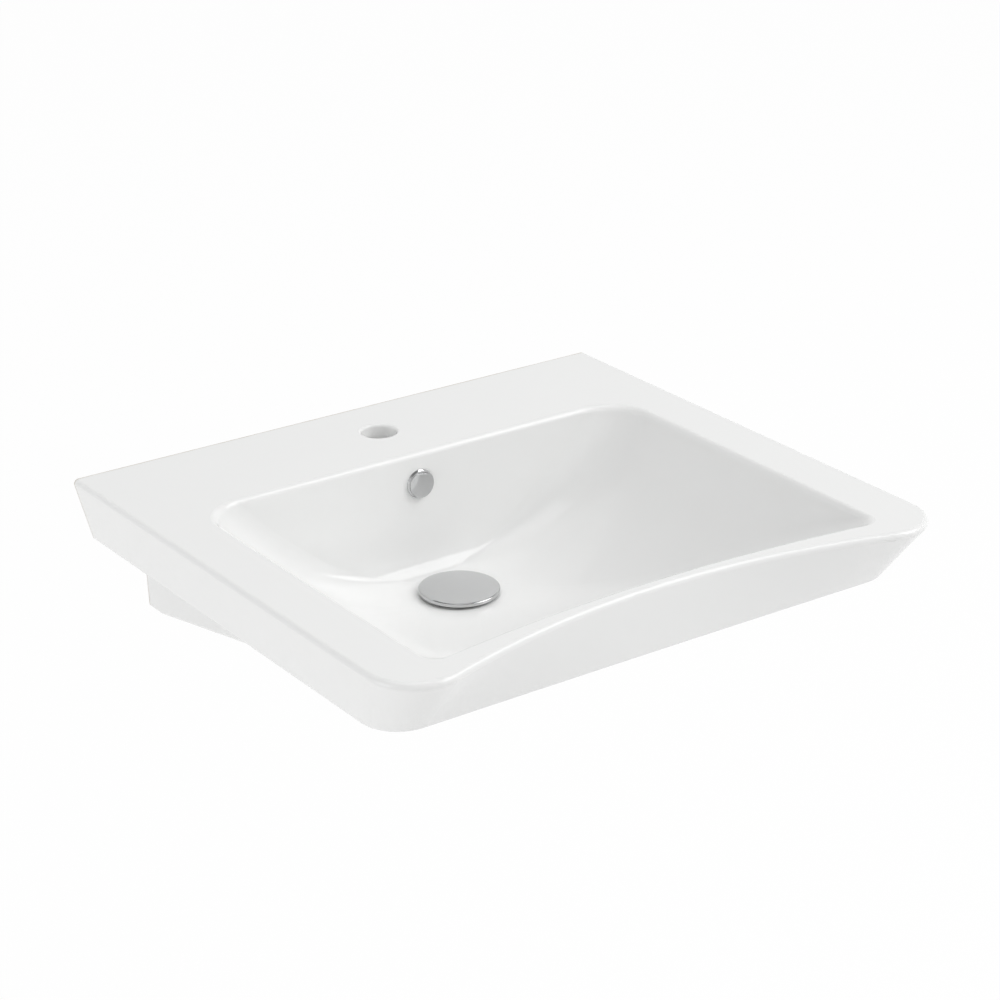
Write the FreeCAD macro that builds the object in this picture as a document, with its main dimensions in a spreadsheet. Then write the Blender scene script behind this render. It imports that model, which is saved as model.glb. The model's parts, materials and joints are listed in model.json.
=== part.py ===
import FreeCAD, Part
import math
import os
import re

import Sketcher

# A wall-hung washbasin with its overflow, its push-open waste and its wall fixings.
# X runs along the wall, Y points into the wall, Z is up, all in millimetres.
# The origin lies on the wall face, midway between the two fixing bolts.

Vector = FreeCAD.Vector

doc = FreeCAD.newDocument("washbasin")
sheet = doc.addObject("Spreadsheet::Sheet", "Sizes")

SIZES = (
    # casting, outside
    ("basin_width", 600.0, "overall width"),
    ("basin_depth", 550.0, "wall to the front corners"),
    ("front_dip", 45.5, "how far the middle of the front edge is bowed back"),
    ("rim_corner", 47.0, "plan radius of the front corners at the rim"),
    ("skirt_drop", 65.0, "height of the skirt"),
    ("skirt_side_draft", 18.0, "how far each side leans in by the skirt's foot"),
    ("skirt_front_draft", 49.0, "how far the front corners lean back by the skirt's foot"),
    ("skirt_corner", 37.5, "plan radius of the front corners at the skirt's foot"),
    ("basin_height", 151.0, "rim to the lowest edge at the wall"),
    ("body_width", 464.0, "width of the lower body where it leaves the skirt"),
    ("body_draft", 4.0, "how far each cheek leans in by its foot"),
    ("body_foot", 24.0, "level stretch of the cheek's foot, from the wall"),
    ("body_rise", 0.2, "rise of the cheek's edge for each unit forward"),
    ("edge_roll", 4.5, "radius of the rim's outer edge"),
    ("skirt_edge", 2.0, "radius of the skirt's foot"),
    ("body_edge", 3.0, "radius of the cheek's lower edge"),
    # casting, inside
    ("side_wall", 11.0, "thickness of the skirt's sides and of the cheeks"),
    ("front_wall", 24.0, "thickness of the skirt's front"),
    ("back_wall", 14.0, "thickness of the wall against the building"),
    ("deck_wall", 12.0, "thickness of the deck"),
    ("bowl_wall", 11.0, "thickness of the bowl"),
    ("belly_overlap", 16.0, "how far the bowl's outside runs up into the skirt"),
    ("cut_margin", 1.0, "how far a cut or a joined piece runs past a face"),
    # bowl
    ("bowl_setback", 134.0, "wall to the bowl's rear edge"),
    ("bowl_width", 486.0, "width of the bowl at the rim"),
    ("bowl_lip", 14.0, "rim left in front of the bowl at the middle"),
    ("bowl_dip", 18.0, "how far the middle of the bowl's front edge is bowed back"),
    ("bowl_depth", 123.5, "rim to the floor at the waste"),
    ("bowl_rear_corner", 44.0, "plan radius of the bowl's rear corners at the rim"),
    ("bowl_front_corner", 12.0, "plan radius of the bowl's front corners at the rim"),
    ("bowl_low_corner", 80.0, "plan radius of the bowl's corners half way down"),
    ("bowl_edge", 5.0, "radius of the bowl's edge"),
    ("floor_margin", 10.5, "level floor left round the flange's recess"),
    ("floor_corner_inset", 6.5, "half size of the level floor less its corner radius"),
    ("wall_power", 1.6, "steepness of the bowl's walls under the rim"),
    ("floor_power", 0.6, "flatness of the bowl's floor"),
    ("rear_lean", 5.7, "how far the bowl's rear wall leans forward over its depth"),
    ("rear_power", 10.0, "how low the round at the foot of the rear wall starts"),
    ("rear_margin", 2.0, "level floor left behind the flange's recess"),
    # tap hole, wall fixing
    ("tap_hole", 35.0, "diameter of the tap hole"),
    ("tap_setback", 64.0, "wall to the tap hole's centre"),
    ("tap_hole_edge", 3.0, "radius of the tap hole's upper edge"),
    ("rim_height", 95.0, "fixing bolts to the rim, straight up"),
    ("fixing_spacing", 280.0, "distance between the fixing bolts"),
    ("fixing_hole", 17.0, "diameter of the fixing holes in the casting"),
    ("stud_thread", 9.7, "diameter of the machine thread, thread depth left out"),
    ("stud_shank", 10.0, "diameter of the stud's part in the building's wall"),
    ("stud_in_wall", 52.0, "length of the plain stud in the wall"),
    ("stud_point", 10.0, "length of the stud's point"),
    ("stud_beyond", 9.0, "length of the stud beyond its nut"),
    ("bush_margin", 2.5, "flange of the plastic bush past the steel washer"),
    ("bush_flange_thickness", 3.0, "thickness of the bush's flange"),
    ("bush_clearance", 0.3, "gap round the bush in its hole"),
    ("bush_sleeve_gap", 3.0, "end of the bush's sleeve to the wall face"),
    ("washer_margin", 0.4, "steel washer past the nut's cover"),
    ("stud_washer_thickness", 2.0, "thickness of the steel washer"),
    ("stud_nut_flats", 17.0, "nut, across flats"),
    ("stud_nut_height", 8.0, "nut, height"),
    ("nut_cap_clearance", 0.6, "gap round the nut's corners in its cover"),
    ("nut_cap_wall", 1.6, "thickness of the nut's cover"),
    ("nut_cap_gap", 0.8, "gap between the stud's end and its cover"),
    ("nut_cap_edge", 2.5, "radius of the cover's edge"),
    # waste
    ("waste_setback", 200.5, "wall to the waste's centre"),
    ("waste_thread", 41.9, "outer diameter of the waste's tail"),
    ("waste_wall", 2.45, "thickness of the tail"),
    ("neck_step", 1.45, "neck under the flange past the tail, all round"),
    ("neck_clearance", 0.6, "gap round the neck in the casting's hole"),
    ("neck_wall", 2.0, "thickness of the neck"),
    ("neck_depth", 3.5, "straight part of the neck"),
    ("neck_taper", 1.5, "tapered part of the neck"),
    ("recess_clearance", 3.0, "gap round the flange in its recess"),
    ("flange_proud", 2.0, "top of the flange above the bowl's floor"),
    ("boss_wall", 23.0, "thickness of the casting's boss round the waste"),
    ("boss_height", 30.0, "recess floor to the boss's foot"),
    ("flange_width", 64.0, "diameter of the waste's flange"),
    ("flange_thickness", 3.0, "thickness of the waste's flange"),
    ("gasket_thickness", 2.0, "thickness of the flange's gasket"),
    ("gasket_inset", 1.0, "flange past its gasket"),
    ("waste_throat_depth", 3.4, "straight part of the throat"),
    ("waste_throat_taper", 2.0, "tapered part of the throat"),
    ("waste_length", 91.0, "flange to the tail's end"),
    ("trap_thread", 36.0, "length of the thread that takes the trap's nut"),
    ("thread_relief", 1.5, "width of the groove over that thread"),
    ("thread_relief_depth", 1.0, "depth of that groove"),
    ("slot_width", 9.0, "width of the overflow slots"),
    ("slot_count", 6.0, "number of overflow slots"),
    ("cross_gap", 5.0, "overflow slots to the cross"),
    ("cross_height", 8.0, "height of the cross"),
    ("cross_arm", 3.5, "thickness of the cross's arms"),
    ("cross_arms", 3.0, "number of arms"),
    ("cross_hub_wall", 3.5, "thickness of the cross's hub"),
    ("seal_width", 60.0, "diameter of the seal under the casting"),
    ("seal_foot_width", 50.0, "diameter of the seal at its lower face"),
    ("seal_height", 6.0, "height of the seal under the casting"),
    ("slip_washer_width", 62.0, "diameter of the slip washer"),
    ("slip_washer_thickness", 1.5, "thickness of the slip washer"),
    ("back_nut_flats", 55.0, "back nut, across flats"),
    ("back_nut_height", 10.0, "back nut, height"),
    ("thread_clearance", 0.05, "gap between a thread and its nut, all round"),
    # latch inside the waste
    ("travel", 9.0, "how far the cap rises when it is pushed open"),
    ("cap_width", 79.0, "diameter of the cap"),
    ("cap_thickness", 5.5, "thickness of the cap at its middle"),
    ("cap_edge_thickness", 4.0, "thickness of the cap at its edge"),
    ("cap_gap", 0.5, "closed cap above the flange"),
    ("cap_hub_height", 3.0, "height of the step that carries the cap's seal"),
    ("cap_boss_wall", 3.0, "thickness of the cap's threaded boss"),
    ("cap_boss_height", 5.5, "height of the cap's threaded boss, from the cap"),
    ("cap_seal_cord", 1.6, "thickness of the cap's seal"),
    ("cap_seal_gap", 0.35, "gap round the cap's seal in the throat"),
    ("cap_seal_drop", 0.2, "cap to the top of its seal"),
    ("cap_edge", 1.6, "radius of the cap's edge"),
    ("cap_stud_room", 1.5, "depth of the stud's hole above the cap's underside"),
    ("cap_stud_gap", 0.5, "gap above the stud in that hole"),
    ("lock_nut_flats", 13.0, "lock nut, across flats"),
    ("lock_nut_height", 4.0, "lock nut, height"),
    ("rod_width", 8.0, "diameter of the rod's stud"),
    ("rod_clearance", 0.08, "running gap round the rod's stud"),
    ("rod_collar_clearance", 0.3, "gap round the rod's collar in the barrel"),
    ("rod_collar_height", 4.0, "height of the rod's collar"),
    ("rod_stop_gap", 2.5, "gap left above the collar when the cap is up"),
    ("rod_pin_width", 5.0, "diameter of the rod's guide pin"),
    ("rod_pin_gap", 6.0, "guide pin to the plug"),
    ("cam_height", 4.0, "height of the latch ring"),
    ("cam_teeth", 6.0, "teeth on the latch ring"),
    ("cam_tooth_height", 1.2, "depth of the gaps between the teeth"),
    ("cam_tooth_gap", 1.6, "width of those gaps"),
    ("cam_clearance", 0.1, "gap between the latch ring and the guide pin"),
    ("barrel_gap", 2.0, "lock nut to the barrel when the cap is down"),
    ("barrel_bore", 13.0, "inner diameter of the barrel"),
    ("barrel_wall", 1.5, "thickness of the barrel"),
    ("barrel_lip", 2.0, "thickness of the barrel's top"),
    ("barrel_collar", 2.5, "collar of the barrel past its outside"),
    ("barrel_collar_height", 2.0, "height of the barrel's collar"),
    ("plug_height", 3.0, "height of the plug in the barrel's foot"),
    ("plug_hole", 4.0, "drain hole in the plug"),
    ("cartridge_nut_flats", 22.0, "nut under the cross, across flats"),
    ("cartridge_nut_height", 5.0, "nut under the cross, height"),
    ("spring_wire", 1.1, "diameter of the spring's wire"),
    ("spring_room", 1.3, "gap round the spring in the barrel"),
    ("spring_length", 15.5, "plug to the latch ring when the cap is down"),
    ("spring_turns", 6.0, "turns of the spring"),
    ("spring_end_gap", 0.1, "gap at each end of the spring"),
    # overflow
    ("overflow_drop", 31.5, "rim to the overflow's centre"),
    ("seat_depth", 0.2, "depth of the flat seat round the overflow hole"),
    ("seat_clearance", 1.0, "gap round the ring on its seat"),
    ("duct_room", 3.0, "duct past the overflow hole, each side"),
    ("duct_head", 1.0, "duct's top above the overflow hole"),
    ("duct_web", 8.0, "bowl's rear edge to the duct"),
    ("duct_depth", 14.0, "depth of the duct, front to back"),
    ("duct_wall", 8.0, "thickness of the duct's walls"),
    ("duct_floor_gap", 8.0, "floor of the recess to the duct's roof"),
    ("overflow_ring_width", 29.0, "diameter of the ring's flange"),
    ("overflow_ring_thickness", 1.2, "thickness of the ring's flange"),
    ("overflow_sleeve", 23.4, "outer diameter of the ring's sleeve"),
    ("overflow_sleeve_wall", 1.5, "thickness of the ring's sleeve"),
    ("overflow_sleeve_clearance", 0.3, "gap round the sleeve in its hole"),
    ("overflow_sleeve_length", 9.0, "length of the ring's sleeve"),
    ("cover_width", 28.0, "diameter of the overflow cover"),
    ("cover_thickness", 2.4, "thickness of the overflow cover"),
    ("cover_gap", 1.2, "gap between the ring and the cover"),
    ("cover_flat_cut", 3.4, "depth of the flat on the cover's upper edge"),
    ("cover_leg", 7.5, "length of the cover's legs behind the ring's flange"),
    ("cover_legs", 3.0, "number of legs"),
    ("cover_leg_width", 5.0, "width of a leg"),
    ("cover_leg_wall", 1.5, "thickness of a leg"),
    ("cover_leg_clearance", 0.6, "gap between a leg and the sleeve"),
)

for row, (alias, value, meaning) in enumerate(SIZES, start=1):
    sheet.set("A%d" % row, meaning)
    sheet.set("B%d" % row, str(value))
    sheet.setAlias("B%d" % row, alias)
doc.recompute()

ALIASES = {alias for alias, value, meaning in SIZES}

# Sizes that follow from others, because one piece fits in, on or round another.
WASTE_BORE = "(waste_thread - 2 * waste_wall)"
NECK_WIDTH = "(waste_thread + 2 * neck_step)"
THROAT_WIDTH = "(%s - 2 * neck_wall)" % NECK_WIDTH
WASTE_HOLE = "(%s + 2 * neck_clearance)" % NECK_WIDTH
BOSS_WIDTH = "(%s + 2 * boss_wall)" % WASTE_HOLE
RECESS_WIDTH = "(flange_width + 2 * recess_clearance)"
RECESS_DEPTH = "(gasket_thickness + flange_thickness - flange_proud)"
RECESS_FLOOR = "(bowl_depth + %s)" % RECESS_DEPTH
FLOOR_REACH = "(%s / 2 + floor_margin)" % RECESS_WIDTH
FLOOR_CORNER = "(%s - floor_corner_inset)" % FLOOR_REACH
OVERFLOW_HOLE = "(overflow_sleeve + 2 * overflow_sleeve_clearance)"
SLEEVE_BORE = "(overflow_sleeve - 2 * overflow_sleeve_wall)"
OVERFLOW_SEAT = "(overflow_ring_width + 2 * seat_clearance)"
OVERFLOW_LEVEL = "(overflow_drop / bowl_depth)"
DUCT_FRONT = "(bowl_setback - duct_web)"
DUCT_WIDTH = "(%s + 2 * duct_room)" % OVERFLOW_HOLE
SLOT_TOP = "(flange_thickness + gasket_thickness + duct_floor_gap)"
SLOT_HEIGHT = "(boss_height - duct_wall - duct_floor_gap)"
BARREL_WIDTH = "(barrel_bore + 2 * barrel_wall)"
CUT = " + cut_margin"

# The bowl's side and front walls draw in from the rim (level 0) to its floor (level 1) by this share.
SHARE = "(1 - {level} ^ wall_power) ^ floor_power"
# The rear wall leans forward evenly, and a round at its foot takes up the rest of its run.
REAR_REACH = "(%s / 2 + rear_margin)" % RECESS_WIDTH
REAR_ROUND = "(waste_setback - %s - bowl_setback - rear_lean)" % REAR_REACH
STRAIGHT = "sqrt(1 - {level} ^ rear_power)"
REAR_PLACE = "(bowl_setback + rear_lean * {level} + %s * (1 - %s))" % (REAR_ROUND, STRAIGHT)
REAR_SLOPE = "((rear_lean + %s * rear_power * {level} ^ (rear_power - 1) / 2 / %s) / bowl_depth)" % (
    REAR_ROUND, STRAIGHT)
# The overflow sits square on the bowl's rear wall, at the wall's own place and lean.
OVERFLOW_FACE = "(%s - seat_depth)" % REAR_PLACE.format(level=OVERFLOW_LEVEL)
OVERFLOW_LEAN = "atan(%s)" % REAR_SLOPE.format(level=OVERFLOW_LEVEL)


def sized(match):
    """A size's name led by its sheet, or the word as it is."""
    word = match.group()
    return "Sizes." + word if word in ALIASES else word


def bound(text):
    """The expression with each size's name led by its sheet."""
    return re.sub(r"[a-z][a-z_]*", sized, text)


def mm(text):
    """The value of an expression of sizes, as a number."""
    return float(sheet.evalExpression(bound(text)))


def placed(feature, x="0", y="0", z="0"):
    """Puts a sub-part at a point given in expressions, so that it follows the sizes."""
    feature.setExpression("Placement.Base.x", bound(x))
    feature.setExpression("Placement.Base.y", bound(y))
    feature.setExpression("Placement.Base.z", bound(z))


def origin_plane(body, role):
    return next(plane for plane in body.Origin.OriginFeatures if plane.Role == role)


def add_body(label):
    body = doc.addObject("PartDesign::Body", label)
    body.Label = label
    return body


def add_sketch(body, name, role, lift="0"):
    """An empty sketch on one of the body's own planes, moved along its normal by lift."""
    sketch = body.newObject("Sketcher::SketchObject", name)
    sketch.AttachmentSupport = [(origin_plane(body, role), "")]
    sketch.MapMode = "FlatFace"
    if lift != "0":
        sketch.setExpression("AttachmentOffset.Base.z", bound(lift))
    return sketch


def arc_between(start, end, radius):
    """The short arc that turns left from start to end."""
    chord = end - start
    rise = math.sqrt(radius ** 2 - chord.Length ** 2 / 4)
    left = Vector(-chord.y, chord.x, 0).normalize()
    centre = (start + end) / 2 + left * rise
    first = math.atan2(start.y - centre.y, start.x - centre.x)
    last = math.atan2(end.y - centre.y, end.x - centre.x)
    return Part.ArcOfCircle(Part.Circle(centre, Vector(0, 0, 1), radius), first, last)


def polygon(sketch, corners):
    """A closed outline, counterclockwise, whose corners are pairs of expressions of sizes.

    A third expression makes the edge that leaves the corner an arc of that radius, bulging out.
    """
    points = [Vector(mm(corner[0]), mm(corner[1]), 0) for corner in corners]
    first = sketch.GeometryCount
    count = len(points)
    for index, corner in enumerate(corners):
        ends = (points[index], points[(index + 1) % count])
        if len(corner) == 3:
            sketch.addGeometry(arc_between(ends[0], ends[1], mm(corner[2])), False)
        else:
            sketch.addGeometry(Part.LineSegment(ends[0], ends[1]), False)
    for index, corner in enumerate(corners):
        edge = first + index
        sketch.addConstraint(Sketcher.Constraint("Coincident", first + (index - 1) % count, 2, edge, 1))
        across = ("DistanceX", corner[0], points[index].x)
        up = ("DistanceY", corner[1], points[index].y)
        for kind, text, value in (across, up):
            place = sketch.addConstraint(Sketcher.Constraint(kind, -1, 1, edge, 1, value))
            sketch.setExpression("Constraints[%d]" % place, bound(text))
        if len(corner) == 3:
            bend = sketch.addConstraint(Sketcher.Constraint("Radius", edge, mm(corner[2])))
            sketch.setExpression("Constraints[%d]" % bend, bound(corner[2]))


def circle(sketch, across, up, diameter):
    """A circle whose centre and diameter are expressions of sizes."""
    centre = Vector(mm(across), mm(up), 0)
    index = sketch.addGeometry(Part.Circle(centre, Vector(0, 0, 1), mm(diameter) / 2), False)
    for kind, text, value in (("DistanceX", across, centre.x), ("DistanceY", up, centre.y)):
        place = sketch.addConstraint(Sketcher.Constraint(kind, -1, 1, index, 3, value))
        sketch.setExpression("Constraints[%d]" % place, bound(text))
    width = sketch.addConstraint(Sketcher.Constraint("Diameter", index, mm(diameter)))
    sketch.setExpression("Constraints[%d]" % width, bound(diameter))


def revolve(body, name, corners):
    """Turns an outline in the XZ plane, given as (radius, height), about the body's Z axis."""
    sketch = add_sketch(body, name + "_outline", "XZ_Plane")
    polygon(sketch, corners)
    turned = body.newObject("PartDesign::Revolution", name)
    turned.Profile = sketch
    turned.ReferenceAxis = (sketch, ["V_Axis"])
    turned.Angle = 360.0
    doc.recompute()


def pad(body, name, draw, length, lift="0"):
    """Raises what draw(sketch) draws by length, from lift upwards."""
    sketch = add_sketch(body, name + "_outline", "XY_Plane", lift)
    draw(sketch)
    raised = body.newObject("PartDesign::Pad", name)
    raised.Profile = sketch
    raised.setExpression("Length", bound(length))
    doc.recompute()
    return raised


def pocket(body, name, draw, length, lift="0", role="XY_Plane"):
    """Cuts what draw(sketch) draws by length, from lift downwards."""
    before = body.Shape.Volume
    sketch = add_sketch(body, name + "_outline", role, lift)
    draw(sketch)
    cut = body.newObject("PartDesign::Pocket", name)
    cut.Profile = sketch
    cut.setExpression("Length", bound(length))
    doc.recompute()
    if body.Shape.Volume >= before:
        raise RuntimeError(body.Label + ": " + name + " cuts nothing")
    return cut


def around(body, name, feature, count):
    """Repeats a feature round the body's Z axis."""
    pattern = body.newObject("PartDesign::PolarPattern", name)
    pattern.Originals = [feature]
    pattern.Axis = (origin_plane(body, "Z_Axis"), [""])
    pattern.Angle = 360.0
    pattern.setExpression("Occurrences", bound(count))
    body.Tip = pattern
    doc.recompute()


def hexagon(sketch, flats):
    """A hexagon with two flats square to the sketch's Y axis."""
    half = "(%s)/2" % flats
    side = "(%s)/2/sqrt(3)" % flats
    corners = (
        (side, half), ("-(%s)" % side, half), ("-2*%s" % side, "0"),
        ("-(%s)" % side, "-(%s)" % half), (side, "-(%s)" % half), ("2*%s" % side, "0"),
    )
    polygon(sketch, corners)


def rectangle(sketch, left, right, low, high):
    polygon(sketch, ((left, low), (right, low), (right, high), (left, high)))


# ---------------------------------------------------------------- the casting

# An edge this close to a level lies in it.
LEVEL_SLACK = 0.01


def bowed_outline(half_width, back, front, dip, corner, level, rear_corner=0.0):
    """Closed wire at one level: straight back and sides, and a front bowed in by dip.

    The front arc is tangent to both front corner arcs. The rear corners are sharp or round.
    """
    centre = Vector(half_width - corner, corner - front, level)
    if dip > 0:
        bow = (centre.x ** 2 + (corner - dip) ** 2 - corner ** 2) / (2 * dip)
        bow_centre = Vector(0, dip - front - bow, level)
        turn = math.atan2(bow_centre.y - centre.y, bow_centre.x - centre.x)
    else:
        turn = -math.pi / 2

    def on_corner(angle, side):
        out = centre.x + corner * math.cos(angle)
        return Vector(side * out, centre.y + corner * math.sin(angle), level)

    def rear(angle, side):
        out = half_width - rear_corner + rear_corner * math.cos(angle)
        return Vector(side * out, -back - rear_corner + rear_corner * math.sin(angle), level)

    middle = Vector(0, dip - front, level)
    right_foot = on_corner(turn, 1)
    left_foot = on_corner(turn, -1)
    if dip > 0:
        front_edge = Part.Arc(right_foot, middle, left_foot).toShape()
    else:
        front_edge = Part.LineSegment(right_foot, left_foot).toShape()
    eighth = math.pi / 4
    edges = [Part.LineSegment(rear(2 * eighth, -1), rear(2 * eighth, 1)).toShape()]
    if rear_corner > 0:
        edges.append(Part.Arc(rear(2 * eighth, 1), rear(eighth, 1), rear(0, 1)).toShape())
    edges.append(Part.LineSegment(rear(0, 1), on_corner(0, 1)).toShape())
    edges.append(Part.Arc(on_corner(0, 1), on_corner(turn / 2, 1), right_foot).toShape())
    edges.append(front_edge)
    edges.append(Part.Arc(left_foot, on_corner(turn / 2, -1), on_corner(0, -1)).toShape())
    edges.append(Part.LineSegment(on_corner(0, -1), rear(0, -1)).toShape())
    if rear_corner > 0:
        edges.append(Part.Arc(rear(0, -1), rear(eighth, -1), rear(2 * eighth, -1)).toShape())
    return Part.Wire(edges)


def block(x_low, x_high, y_low, y_high, z_low, z_high):
    return Part.makeBox(x_high - x_low, y_high - y_low, z_high - z_low, Vector(x_low, y_low, z_low))


def rolled_off(draft):
    """What rounding the rim takes off the outline of a face that leans in by draft."""
    lean = math.atan(mm(draft + " / skirt_drop"))
    return mm("edge_roll") * ((1 + math.sin(lean)) / math.cos(lean) - 1)


def sharp_depth():
    """Wall to the front corners before the rim is rounded."""
    return mm("basin_depth") + rolled_off("skirt_front_draft")


def skirt_solid(side_inset, front_inset, back, top, foot):
    """The skirt, drawn in by an inset: bowed at the rim, straight at its foot."""
    width = mm("basin_width / 2") + rolled_off("skirt_side_draft") - side_inset
    depth = sharp_depth() - front_inset
    narrow = width - mm("skirt_side_draft")
    short = depth - mm("skirt_front_draft")
    rim_corner = mm("rim_corner") - side_inset
    foot_corner = mm("skirt_corner") - side_inset
    rim = bowed_outline(width, back, depth, mm("front_dip"), rim_corner, top)
    end = bowed_outline(narrow, back, short, 0, foot_corner, foot)
    return Part.makeLoft([rim, end], True, True)


def level_rectangle(half, reach, level):
    """A rectangle at one level that starts just inside the wall."""
    start = mm("cut_margin")
    corners = ((-half, start), (half, start), (half, -reach), (-half, -reach), (-half, start))
    return Part.makePolygon([Vector(x, y, level) for x, y in corners])


def lower_body_solid():
    """The body under the skirt: its sides lean in, and its edge rises towards the front."""
    join = mm("skirt_drop - skirt_edge - cut_margin")
    foot = mm("basin_height")
    run = mm("body_foot") + (foot - join) / mm("body_rise")
    half = mm("body_width / 2")
    draft = mm("body_draft")
    top = level_rectangle(half, run, -join)
    end = level_rectangle(half - draft, mm("body_foot"), -foot)
    body = Part.makeLoft([top, end], True, True)
    low_edges = []
    for edge in body.Edges:
        box = edge.BoundBox
        if box.ZMin < -join - LEVEL_SLACK and box.YMin < mm("cut_margin") - LEVEL_SLACK:
            low_edges.append(edge)
    return body.makeFillet(mm("body_edge"), low_edges)


# Where the bowl's outline is drawn, below its rounded edge.
LOW_LEVELS = (0.15, 0.35, 0.55, 0.72, 0.84, 0.92, 0.965, 0.99, 1.0)
ROLL_ANGLES = (0, 30, 60, 90)
# The bow of the bowl's front edge fades out by this level, down to a trace that keeps it an arc.
BOW_END = 0.45
LEAST_BOW = 0.02


def bowl_ring(level, grow):
    """The bowl's outline at a level, or that of its jacket if it is grown by the wall."""
    depth = mm("bowl_depth") + grow
    floor = mm(FLOOR_REACH) + grow
    half = mm("bowl_width / 2") + grow
    waste = mm("waste_setback")
    front = sharp_depth() - mm("front_dip + bowl_lip - bowl_dip") + grow
    share = mm(SHARE.format(level=level))
    width = floor + (half - floor) * share
    rear = mm(REAR_PLACE.format(level=level)) - grow
    reach = (waste + floor) + (front - waste - floor) * share
    swell = math.sin(math.pi * level)
    low_corner = mm("bowl_low_corner") + grow
    floor_corner = mm(FLOOR_CORNER) * level + grow
    rear_corner = mm("bowl_rear_corner") * (1 - level) + floor_corner
    front_corner = mm("bowl_front_corner") * (1 - level) + floor_corner
    rear_corner += (low_corner - rear_corner) * swell / 2
    front_corner += (low_corner - front_corner) * swell
    dip = mm("bowl_dip") * max(0.0, 1 - level / BOW_END) + LEAST_BOW
    return bowed_outline(width, rear, reach, dip, front_corner, -depth * level, rear_corner)


def bowl_solid(grow):
    """The bowl's hollow, or its outer jacket if it is grown by the wall's thickness."""
    levels = (0.0, mm("bowl_edge / bowl_depth")) + LOW_LEVELS
    return Part.makeLoft([bowl_ring(level, grow) for level in levels], True, False)


def bowl_edge_solid():
    """What is cut from the rim to round the bowl's edge: it flares by a quarter circle."""
    edge = mm("bowl_edge")
    rings = []
    for angle in ROLL_ANGLES:
        turn = math.radians(angle)
        level = edge * (1 - math.sin(turn)) / mm("bowl_depth")
        rings.append(bowl_ring(level, edge * (1 - math.cos(turn))))
    return Part.makeLoft(rings, True, False)


def casting_solid():
    """The fired casting before its holes are cut."""
    drop = mm("skirt_drop")
    past = mm("cut_margin")
    skirt = skirt_solid(0, 0, -past, 0, -drop)

    def outer_edges(level):
        """The edges of the skirt at one level, but for the one on the wall."""
        found = []
        for edge in skirt.Edges:
            box = edge.BoundBox
            off = max(abs(box.ZMin - level), abs(box.ZMax - level))
            if off < LEVEL_SLACK and box.YMin < -past:
                found.append(edge)
        return found

    skirt = skirt.makeFillet(mm("edge_roll"), outer_edges(0))
    skirt = skirt.makeFillet(mm("skirt_edge"), outer_edges(-drop))
    jacket = bowl_solid(mm("bowl_wall"))
    far = mm("basin_depth + basin_width")
    belly_top = mm("belly_overlap") - drop
    belly = jacket.common(block(-far, far, -far, far, -far, belly_top))
    outside = skirt.fuse(lower_body_solid())
    outside = outside.fuse(belly)
    outside = outside.cut(block(-far, far, 0, far, -far, far))

    side = mm("side_wall")
    body = mm("body_width / 2")
    inner = mm("body_width / 2 - side_wall - body_draft")
    front = sharp_depth() - mm("skirt_front_draft + front_wall")
    deck = mm("deck_wall")
    back = mm("back_wall")
    low = mm("basin_height") + past
    hollow = skirt_solid(side, mm("front_wall"), back, -deck, -drop - past)
    hollow = hollow.fuse(block(-inner, inner, -front, -back, -low, -deck))
    hollow = hollow.cut(block(inner, body, -far, 0, -far, past))
    hollow = hollow.cut(block(-body, -inner, -far, 0, -far, past))
    hollow = hollow.cut(jacket)
    hollow = hollow.cut(waste_boss())
    hollow = hollow.cut(duct_run(mm("duct_wall")))
    outside = outside.fuse(waste_boss())
    outside = outside.fuse(duct_run(mm("duct_wall")))
    casting = outside.cut(hollow).cut(bowl_solid(0.0)).cut(bowl_edge_solid())
    casting = casting.cut(duct_run(0.0)).cut(overflow_drill(OVERFLOW_HOLE, mm("bowl_wall * 2")))
    return casting.cut(overflow_drill(OVERFLOW_SEAT, 0.0))


def waste_boss():
    foot = mm(RECESS_FLOOR + " + boss_height")
    centre = Vector(0, -mm("waste_setback"), -foot)
    return Part.makeCylinder(mm(BOSS_WIDTH + " / 2"), mm("boss_height"), centre)


def duct_run(grow):
    """The overflow duct, or its jacket: down behind the bowl, then forward to the waste."""
    half = mm(DUCT_WIDTH + " / 2") + grow
    front = -mm(DUCT_FRONT) - grow
    back = -mm(DUCT_FRONT + " - duct_depth") + grow
    top = -mm("overflow_drop - duct_head - %s / 2" % OVERFLOW_HOLE) + grow
    roof = -mm(RECESS_FLOOR + " + duct_floor_gap") + grow
    foot = -mm(RECESS_FLOOR + " + boss_height - duct_wall") - grow
    down = block(-half, half, front, back, foot, top)
    forward = block(-half, half, -mm("waste_setback"), back, foot, roof)
    return down.fuse(forward)


def overflow_drill(width, depth):
    """A round cut square to the bowl's rear wall, from the bowl to a depth behind the seat."""
    lean = math.radians(mm(OVERFLOW_LEAN + " / 1deg"))
    out = Vector(0, -math.cos(lean), math.sin(lean))
    seat = Vector(0, -mm(OVERFLOW_FACE), -mm("overflow_drop"))
    length = mm("bowl_wall") + depth
    return Part.makeCylinder(mm(width + " / 2"), length, seat - out * depth, out)


cast = doc.addObject("Part::Feature", "casting_blank")
cast.Shape = casting_solid()

basin = add_body("basin_ceramic")
basin.BaseFeature = cast
doc.recompute()

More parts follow.
